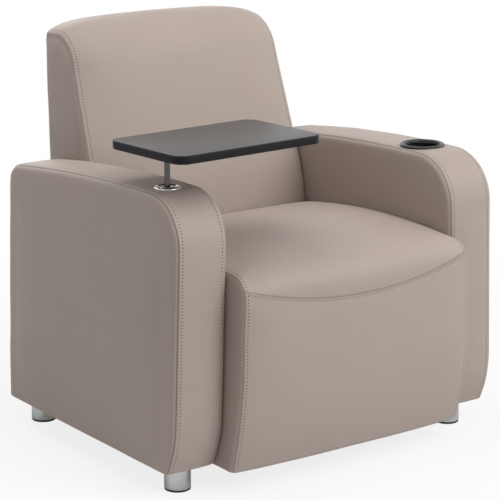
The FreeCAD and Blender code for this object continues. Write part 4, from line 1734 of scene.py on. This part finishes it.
@dataclass
class TabletTop:
    """The writing tablet: laminate sheet, black edge band and core board."""

    post: Point = field(default_factory=post_place)
    inner_end: float = -0.055
    outer_end: float = 0.287
    half_width: float = 0.110
    corner: float = 0.025
    corner_runs: int = 14
    top: float = 0.653
    thick: float = 0.016
    band: float = 0.0025
    sheet: float = 0.001
    ease: float = 0.0022
    sheet_ease: float = 0.0004
    ease_runs: int = 4
    sharp: float = 1.0
    level_gap: float = 1e-5
    smooth_angle: float = 40.0

    @property
    def middle(self) -> float:
        """The middle of the tablet's length, from the post."""
        return (self.outer_end + self.inner_end) / 2.0

    def is_level(self, edge: bmesh.types.BMEdge) -> bool:
        """Whether an edge lies flat."""
        return abs(edge.verts[0].co.z - edge.verts[1].co.z) <= self.level_gap

    def is_outer(self, edge: bmesh.types.BMEdge) -> bool:
        """Tells the band's outside edges from its inside ones, before it is set over the post.

        Args:
            edge: An edge of the band.

        Returns:
            Whether it is sharp, level and on the outside.
        """
        if edge.calc_face_angle(0.0) <= self.sharp or not self.is_level(edge):
            return False
        place = (edge.verts[0].co + edge.verts[1].co) / 2.0
        out = Vector((place.x - self.middle, place.y, 0.0))
        walls = [face.normal for face in edge.link_faces if abs(face.normal.z) < 0.1]
        return any(normal.dot(out) > 0.0 for normal in walls)

    def is_sheet_rim(self, edge: bmesh.types.BMEdge) -> bool:
        """Whether a sharp edge runs round the tablet's top."""
        at_top = all(abs(vertex.co.z - self.top) < self.level_gap for vertex in edge.verts)
        return at_top and edge.calc_face_angle(0.0) > self.sharp

    @staticmethod
    def is_flat(face: bmesh.types.BMFace) -> bool:
        """Whether a face looks up or down."""
        return abs(face.normal.z) > 0.9

    @staticmethod
    def round_off(bench: Bench, test: Callable, offset: float, segments: int) -> None:
        """Rounds the edges that pass a test."""
        settings = {"offset": offset, "segments": segments, "profile": 0.5, "affect": "EDGES"}
        bench.tool("EDGE", test, bpy.ops.mesh.bevel, **settings)

    def blank(self, name: str, inset: float, low: float, high: float) -> Bench:
        """A rounded board.

        Args:
            name: The piece's name.
            inset: How far its outline is drawn in.
            low: Its underside.
            high: Its top.

        Returns:
            The bench with the board, still square to the frame.
        """
        length = self.outer_end - self.inner_end - 2.0 * inset
        width = 2.0 * (self.half_width - inset)
        place = (self.middle, 0.0, (low + high) / 2.0)
        bench = Bench(name, bpy.ops.mesh.primitive_cube_add, size=1.0, location=place)
        bench.piece.scale = (length, width, high - low)
        bench.settle()
        self.round_off(bench, lambda edge: not self.is_level(edge), self.corner - inset, self.corner_runs)
        return bench

    def place(self, bench: Bench) -> bpy.types.Object:
        """Turns a board to its rest angle and sets it over the post.

        Args:
            bench: The bench with the board.

        Returns:
            The board.
        """
        bench.piece.rotation_euler = (0.0, 0.0, TABLET_TURN)
        bench.piece.location = (*self.post, 0.0)
        bench.settle()
        return bench.smooth(self.smooth_angle)

    def build(self, finishes: Finishes) -> list[bpy.types.Object]:
        """Makes the three layers and dresses them.

        Args:
            finishes: The chair's finishes.

        Returns:
            The pieces.
        """
        low, under_sheet = self.top - self.thick, self.top - self.sheet
        core = self.blank("tablet_core_board", self.band, low, under_sheet)
        sheet = self.blank("tablet_top_sheet", self.band, under_sheet, self.top)
        self.round_off(sheet, self.is_sheet_rim, self.sheet_ease, self.ease_runs)
        rim = self.blank("tablet_rim", 0.0, low, self.top)
        rim.select("FACE", self.is_flat)
        bpy.ops.mesh.inset(thickness=self.band)
        bpy.ops.mesh.bridge_edge_loops()
        rim.leave()
        self.round_off(rim, self.is_outer, self.ease, self.ease_runs)
        layers = (
            (core, "tablet_core", "tablet_board"),
            (sheet, "tablet_laminate", "tablet_laminate"),
            (rim, "tablet_edge", "tablet_edge_band"),
        )
        return [finishes.fit(self.place(bench), slot, node, "tablet") for bench, slot, node in layers]


@dataclass
class PostFlange:
    """The dished bright flange round the post."""

    post: Point = field(default_factory=post_place)
    seat: float = 0.5718
    radius: float = 0.025
    bore: float = 0.0103
    rim_round: float = 0.0022
    rim_lift: float = 0.001
    dish_outside: Point = (0.0075, 0.0017)
    dish_inside: Point = (0.0035, 0.0009)
    neck_round: float = 0.0012
    neck_lift: float = 0.0016

    def build(self, finishes: Finishes) -> list[bpy.types.Object]:
        """Turns the flange and dresses it.

        Args:
            finishes: The chair's finishes.

        Returns:
            The flange.
        """
        rim_middle = (self.radius - self.rim_round, self.seat + self.rim_lift)
        neck_middle = (self.bore + self.neck_round, self.seat + self.neck_lift)
        section = [(self.bore, self.seat), (self.radius, self.seat)]
        section += rounded(rim_middle, self.rim_round, 0.0, 120.0)
        section += [(self.radius - self.dish_outside[0], self.seat + self.dish_outside[1])]
        section += [(self.bore + self.dish_inside[0], self.seat + self.dish_inside[1])]
        section += rounded(neck_middle, self.neck_round, 60.0, 180.0, 5)
        flange = turned("tablet_post_flange", section, *self.post).piece
        return [finishes.fit(flange, "bright_chrome", "post_flange")]


@dataclass
class CupHolder:
    """The black drop-in cup with its rounded rim."""

    place: Point = field(default_factory=cup_place)
    bore: float = 0.0355
    wall: float = 0.0025
    heel: float = 0.002
    rim: float = 0.0455
    rim_tuck: float = 0.0004
    seat: float = 0.5718
    rim_height: float = 0.0062
    floor: float = 0.5015
    floor_thick: float = 0.003
    floor_round: float = 0.006
    lip: float = 0.0006
    lip_steps: tuple[Point, ...] = ((0.0, 1.0), (1.0, 2.0), (1.0, 4.0), (0.0, 5.0))

    def build(self, finishes: Finishes) -> list[bpy.types.Object]:
        """Turns the cup and dresses it.

        Args:
            finishes: The chair's finishes.

        Returns:
            The cup.
        """
        wall = self.bore + self.wall
        top = self.seat + self.rim_height
        under = self.floor - self.floor_thick
        ring = (self.rim - self.bore) / 2.0
        foot = (self.bore - self.floor_round, self.floor + self.floor_round)
        section = [(0.0, under), (wall - self.heel, under), (wall, under + self.heel), (wall, self.seat)]
        section += [(self.rim - self.rim_tuck, self.seat)]
        section += rounded((self.bore + ring, top - ring), ring, 0.0, 180.0, 14)
        for inward, down in self.lip_steps:
            section.append((self.bore - inward * self.lip, top - ring - down * self.lip))
        section += rounded(foot, self.floor_round, 0.0, -90.0, 6)
        section += [(0.0, self.floor)]
        cup = turned("cup_holder_moulding", section, *self.place).piece
        return [finishes.fit(cup, "cup_plastic", "cup_holder")]


@dataclass
class Legs:
    """Four round bright legs on black foot plugs."""

    x: float = 0.336
    front: float = -0.231
    rear: float = 0.269
    radius: float = 0.0254
    wall: float = 0.0015
    top: float = 0.050
    edge: float = 0.0006
    plate: float = 0.004
    glide: float = 0.004
    glide_inset: float = 0.0002
    foot_inset: float = 0.0014
    foot_round: float = 0.0012
    plug: float = 0.010
    gap: float = 0.0001

    def places(self) -> list[tuple[str, float, float]]:
        """The name and place of every leg."""
        ends = (("front", self.front), ("rear", self.rear))
        return [(end + "_" + side.name.lower(), side.value * self.x, y) for end, y in ends for side in Side]

    def build(self, finishes: Finishes) -> list[bpy.types.Object]:
        """Turns the legs and plugs and dresses them.

        Args:
            finishes: The chair's finishes.

        Returns:
            The legs and plugs.
        """
        inner = self.radius - self.wall
        plug = inner - self.gap
        step = self.glide - self.gap
        plug_top = self.glide + self.plug
        shoulder = self.radius - self.edge
        tube = [(inner, self.glide), (shoulder, self.glide), (self.radius, self.glide + self.edge)]
        tube += [(self.radius, self.top - self.edge), (shoulder, self.top), (0.0, self.top)]
        tube += [(0.0, self.top - self.plate), (inner, self.top - self.plate)]
        foot_middle = (self.radius - self.foot_inset, self.foot_round)
        foot = [(0.0, 0.0)] + rounded(foot_middle, self.foot_round, -90.0, 0.0, 4)
        foot += [(self.radius - self.glide_inset, step), (plug, step), (plug, plug_top), (0.0, plug_top)]
        made = []
        for name, x, y in self.places():
            leg = turned(name + "_leg_tube", tube, x, y).piece
            made.append(finishes.fit(leg, "bright_chrome", name + "_leg"))
            glide = turned(name + "_foot_plug", foot, x, y).piece
            made.append(finishes.fit(glide, "glide_rubber", name + "_glide"))
        return made


class Lamp(NamedTuple):
    """One square soft lamp: its name, place, size in metres and power in watts."""

    name: str
    place: Sequence[float]
    size: float
    power: float


@dataclass
class Studio:
    """Pale floor, white surround, soft light and the camera."""

    camera_place: Sequence[float] = (-2.3070, -3.1947, 1.3558)
    yaw: float = math.radians(35.828)
    pitch: float = math.radians(14.079)
    lens: float = 144.04
    sensor: float = 36.0
    clip_end: float = 200.0
    floor_size: float = 60.0
    floor_grey: float = 0.9
    aim: Sequence[float] = (0.0, 0.0, 0.40)
    lamps: tuple[Lamp, ...] = (
        Lamp("key", (1.3, -3.2, 2.5), 2.0, 74.0),
        Lamp("front", (-1.2, -4.4, 1.9), 2.0, 4.0),
        Lamp("top", (-0.6, 0.3, 3.3), 2.2, 38.0),
        Lamp("top_front", (0.2, -1.8, 3.2), 2.2, 31.0),
        Lamp("left", (-3.4, -0.6, 1.6), 2.2, 2.5),
        Lamp("rear_left", (-2.4, 2.4, 2.4), 2.2, 26.0),
        Lamp("right", (3.4, -0.6, 1.8), 2.2, 28.0),
        Lamp("rear", (0.4, 3.4, 2.2), 2.2, 24.0),
    )
    surround: float = 0.05
    shadow_reach: Point = (0.55, 1.7)
    seen_white: Point = (0.82, 0.18)
    mirrored_white: Point = (0.2, 0.6)

    def build(self) -> None:
        """Sets up the whole studio."""
        bpy.context.scene.view_settings.view_transform = "Standard"
        self.add_floor()
        self.add_world()
        self.add_lamps()
        self.add_camera()

    @staticmethod
    def rays(shader: Shader) -> list[Socket]:
        """Whether a ray comes from the camera, from bright metal or through glass."""
        kinds = ("Is Camera Ray", "Is Glossy Ray", "Is Transmission Ray")
        return [shader.node("ShaderNodeLightPath", None, None, kind) for kind in kinds]

    def add_floor(self) -> None:
        """The floor, white to the eye and in bright metal, with the chair's shadow on it."""
        bench = Bench("floor", bpy.ops.mesh.primitive_plane_add, size=self.floor_size)
        shader = Shader.named("pale_floor")
        camera, glossy, glass = self.rays(shader)
        away = shader.node("ShaderNodeVectorMath", {"operation": "LENGTH"}, {0: shader.place()}, "Value")
        near, far = self.shadow_reach
        fade = shader.node("ShaderNodeMapRange", None, {"Value": away, "From Min": near, "From Max": far})
        seen = (camera + glass) * (self.seen_white[0] + self.seen_white[1] * fade)
        seen = seen + glossy * (self.mirrored_white[0] + self.mirrored_white[1] * fade)
        grey = (self.floor_grey, self.floor_grey, self.floor_grey, 1.0)
        matt = shader.node("ShaderNodeBsdfDiffuse", None, {"Color": grey})
        white = shader.node("ShaderNodeEmission", None, {"Color": (1.0, 1.0, 1.0, 1.0), "Strength": 1.0})
        mixed = shader.node("ShaderNodeMixShader", None, {0: seen, 1: matt, 2: white})
        shader.node("ShaderNodeOutputMaterial", None, {"Surface": mixed})
        bench.piece.data.materials.append(shader.owner)

    def add_world(self) -> None:
        """A white surround, which hardly lights the chair."""
        world = bpy.data.worlds.new("studio")
        bpy.context.scene.world = world
        shader = Shader(world)
        camera, glossy, glass = self.rays(shader)
        seen = camera.math("MAXIMUM", camera, glossy.math("MAXIMUM", glossy, glass))
        strength = self.surround + (1.0 - self.surround) * seen
        sky = shader.node("ShaderNodeBackground", None, {"Color": (1.0, 1.0, 1.0, 1.0), "Strength": strength})
        shader.node("ShaderNodeOutputWorld", None, {"Surface": sky})

    def add_lamps(self) -> None:
        """Large soft lamps, all turned to the chair."""
        for name, place, size, power in self.lamps:
            lamp = bpy.data.lights.new(name, "AREA")
            lamp.energy = power
            lamp.size = size
            holder = bpy.data.objects.new(name, lamp)
            holder.location = place
            beam = Vector(self.aim) - Vector(place)
            holder.rotation_euler = beam.to_track_quat("-Z", "Y").to_euler()
            bpy.context.scene.collection.objects.link(holder)

    def add_camera(self) -> None:
        """The camera at the photograph's angle."""
        lens = bpy.data.cameras.new("camera")
        lens.sensor_fit = "HORIZONTAL"
        lens.sensor_width = self.sensor
        lens.lens = self.lens
        lens.clip_end = self.clip_end
        holder = bpy.data.objects.new("camera", lens)
        holder.location = self.camera_place
        holder.rotation_euler = (math.pi / 2.0 - self.pitch, 0.0, -self.yaw)
        bpy.context.scene.collection.objects.link(holder)
        bpy.context.scene.camera = holder


def covers() -> list[SewnBlock]:
    """Gives the four upholstered blocks their own sizes.

    Returns:
        Both arms, the seat and the back.
    """
    arm = {
        "bottom": 0.055,
        "span": 0.113,
        "rows": {Panel.TOP: 132},
        "spine": (0.20, -0.19),
        "camber": 0.002,
        "tight_panels": (Panel.INNER_SIDE,),
        "easing": 60,
    }
    post = {"fitting": post_place(), "hole": (0.012, 0.520), "held": 0.024}
    seat = {
        "bottom": 0.0525,
        "span": 0.535,
        "rows": {Panel.REAR: 10, Panel.TOP: 42, Panel.FRONT: 28},
        "spine": (0.08, -0.25),
        "tuck": 0.0,
        "foot_round": 0.011,
        "seam_tone": 0.7,
        "seam_depth": 0.0008,
        "stitch_gap": 0.006,
    }
    back = {
        "bottom": 0.0502,
        "span": 0.520,
        "rows": {Panel.REAR: 52, Panel.TOP: 76},
        "spine": (0.26, 0.19),
        "tuck": 0.004,
        "seam_depth": 0.0007,
        "seam_tone": 0.3,
    }
    left_nodes = ("left_arm_cover", "left_arm_foam")
    right_nodes = ("right_arm_cover", "right_arm_foam")
    return [
        ArmCover("left_arm_upholstery", left_nodes, side=Side.LEFT, **arm, **post),
        ArmCover("right_arm_upholstery", right_nodes, side=Side.RIGHT, **arm),
        SeatCover("seat_upholstery", ("seat_cover", "seat_foam"), **seat),
        BackCover("back_upholstery", ("back_cover", "back_foam"), **back),
    ]


def main() -> None:
    """Builds and dresses the chair, then sets up the studio."""
    logging.basicConfig(level=logging.INFO, format="%(name)s %(message)s")
    finishes = Finishes()
    for maker in (*covers(), TabletTop(), DustSheet(), PostFlange(), CupHolder(), Legs()):
        for piece in maker.build(finishes):
            log.info("%s: %d faces", piece.name, len(piece.data.polygons))
    finishes.dress_frame()
    Studio().build()


if __name__ == "__main__":
    main()
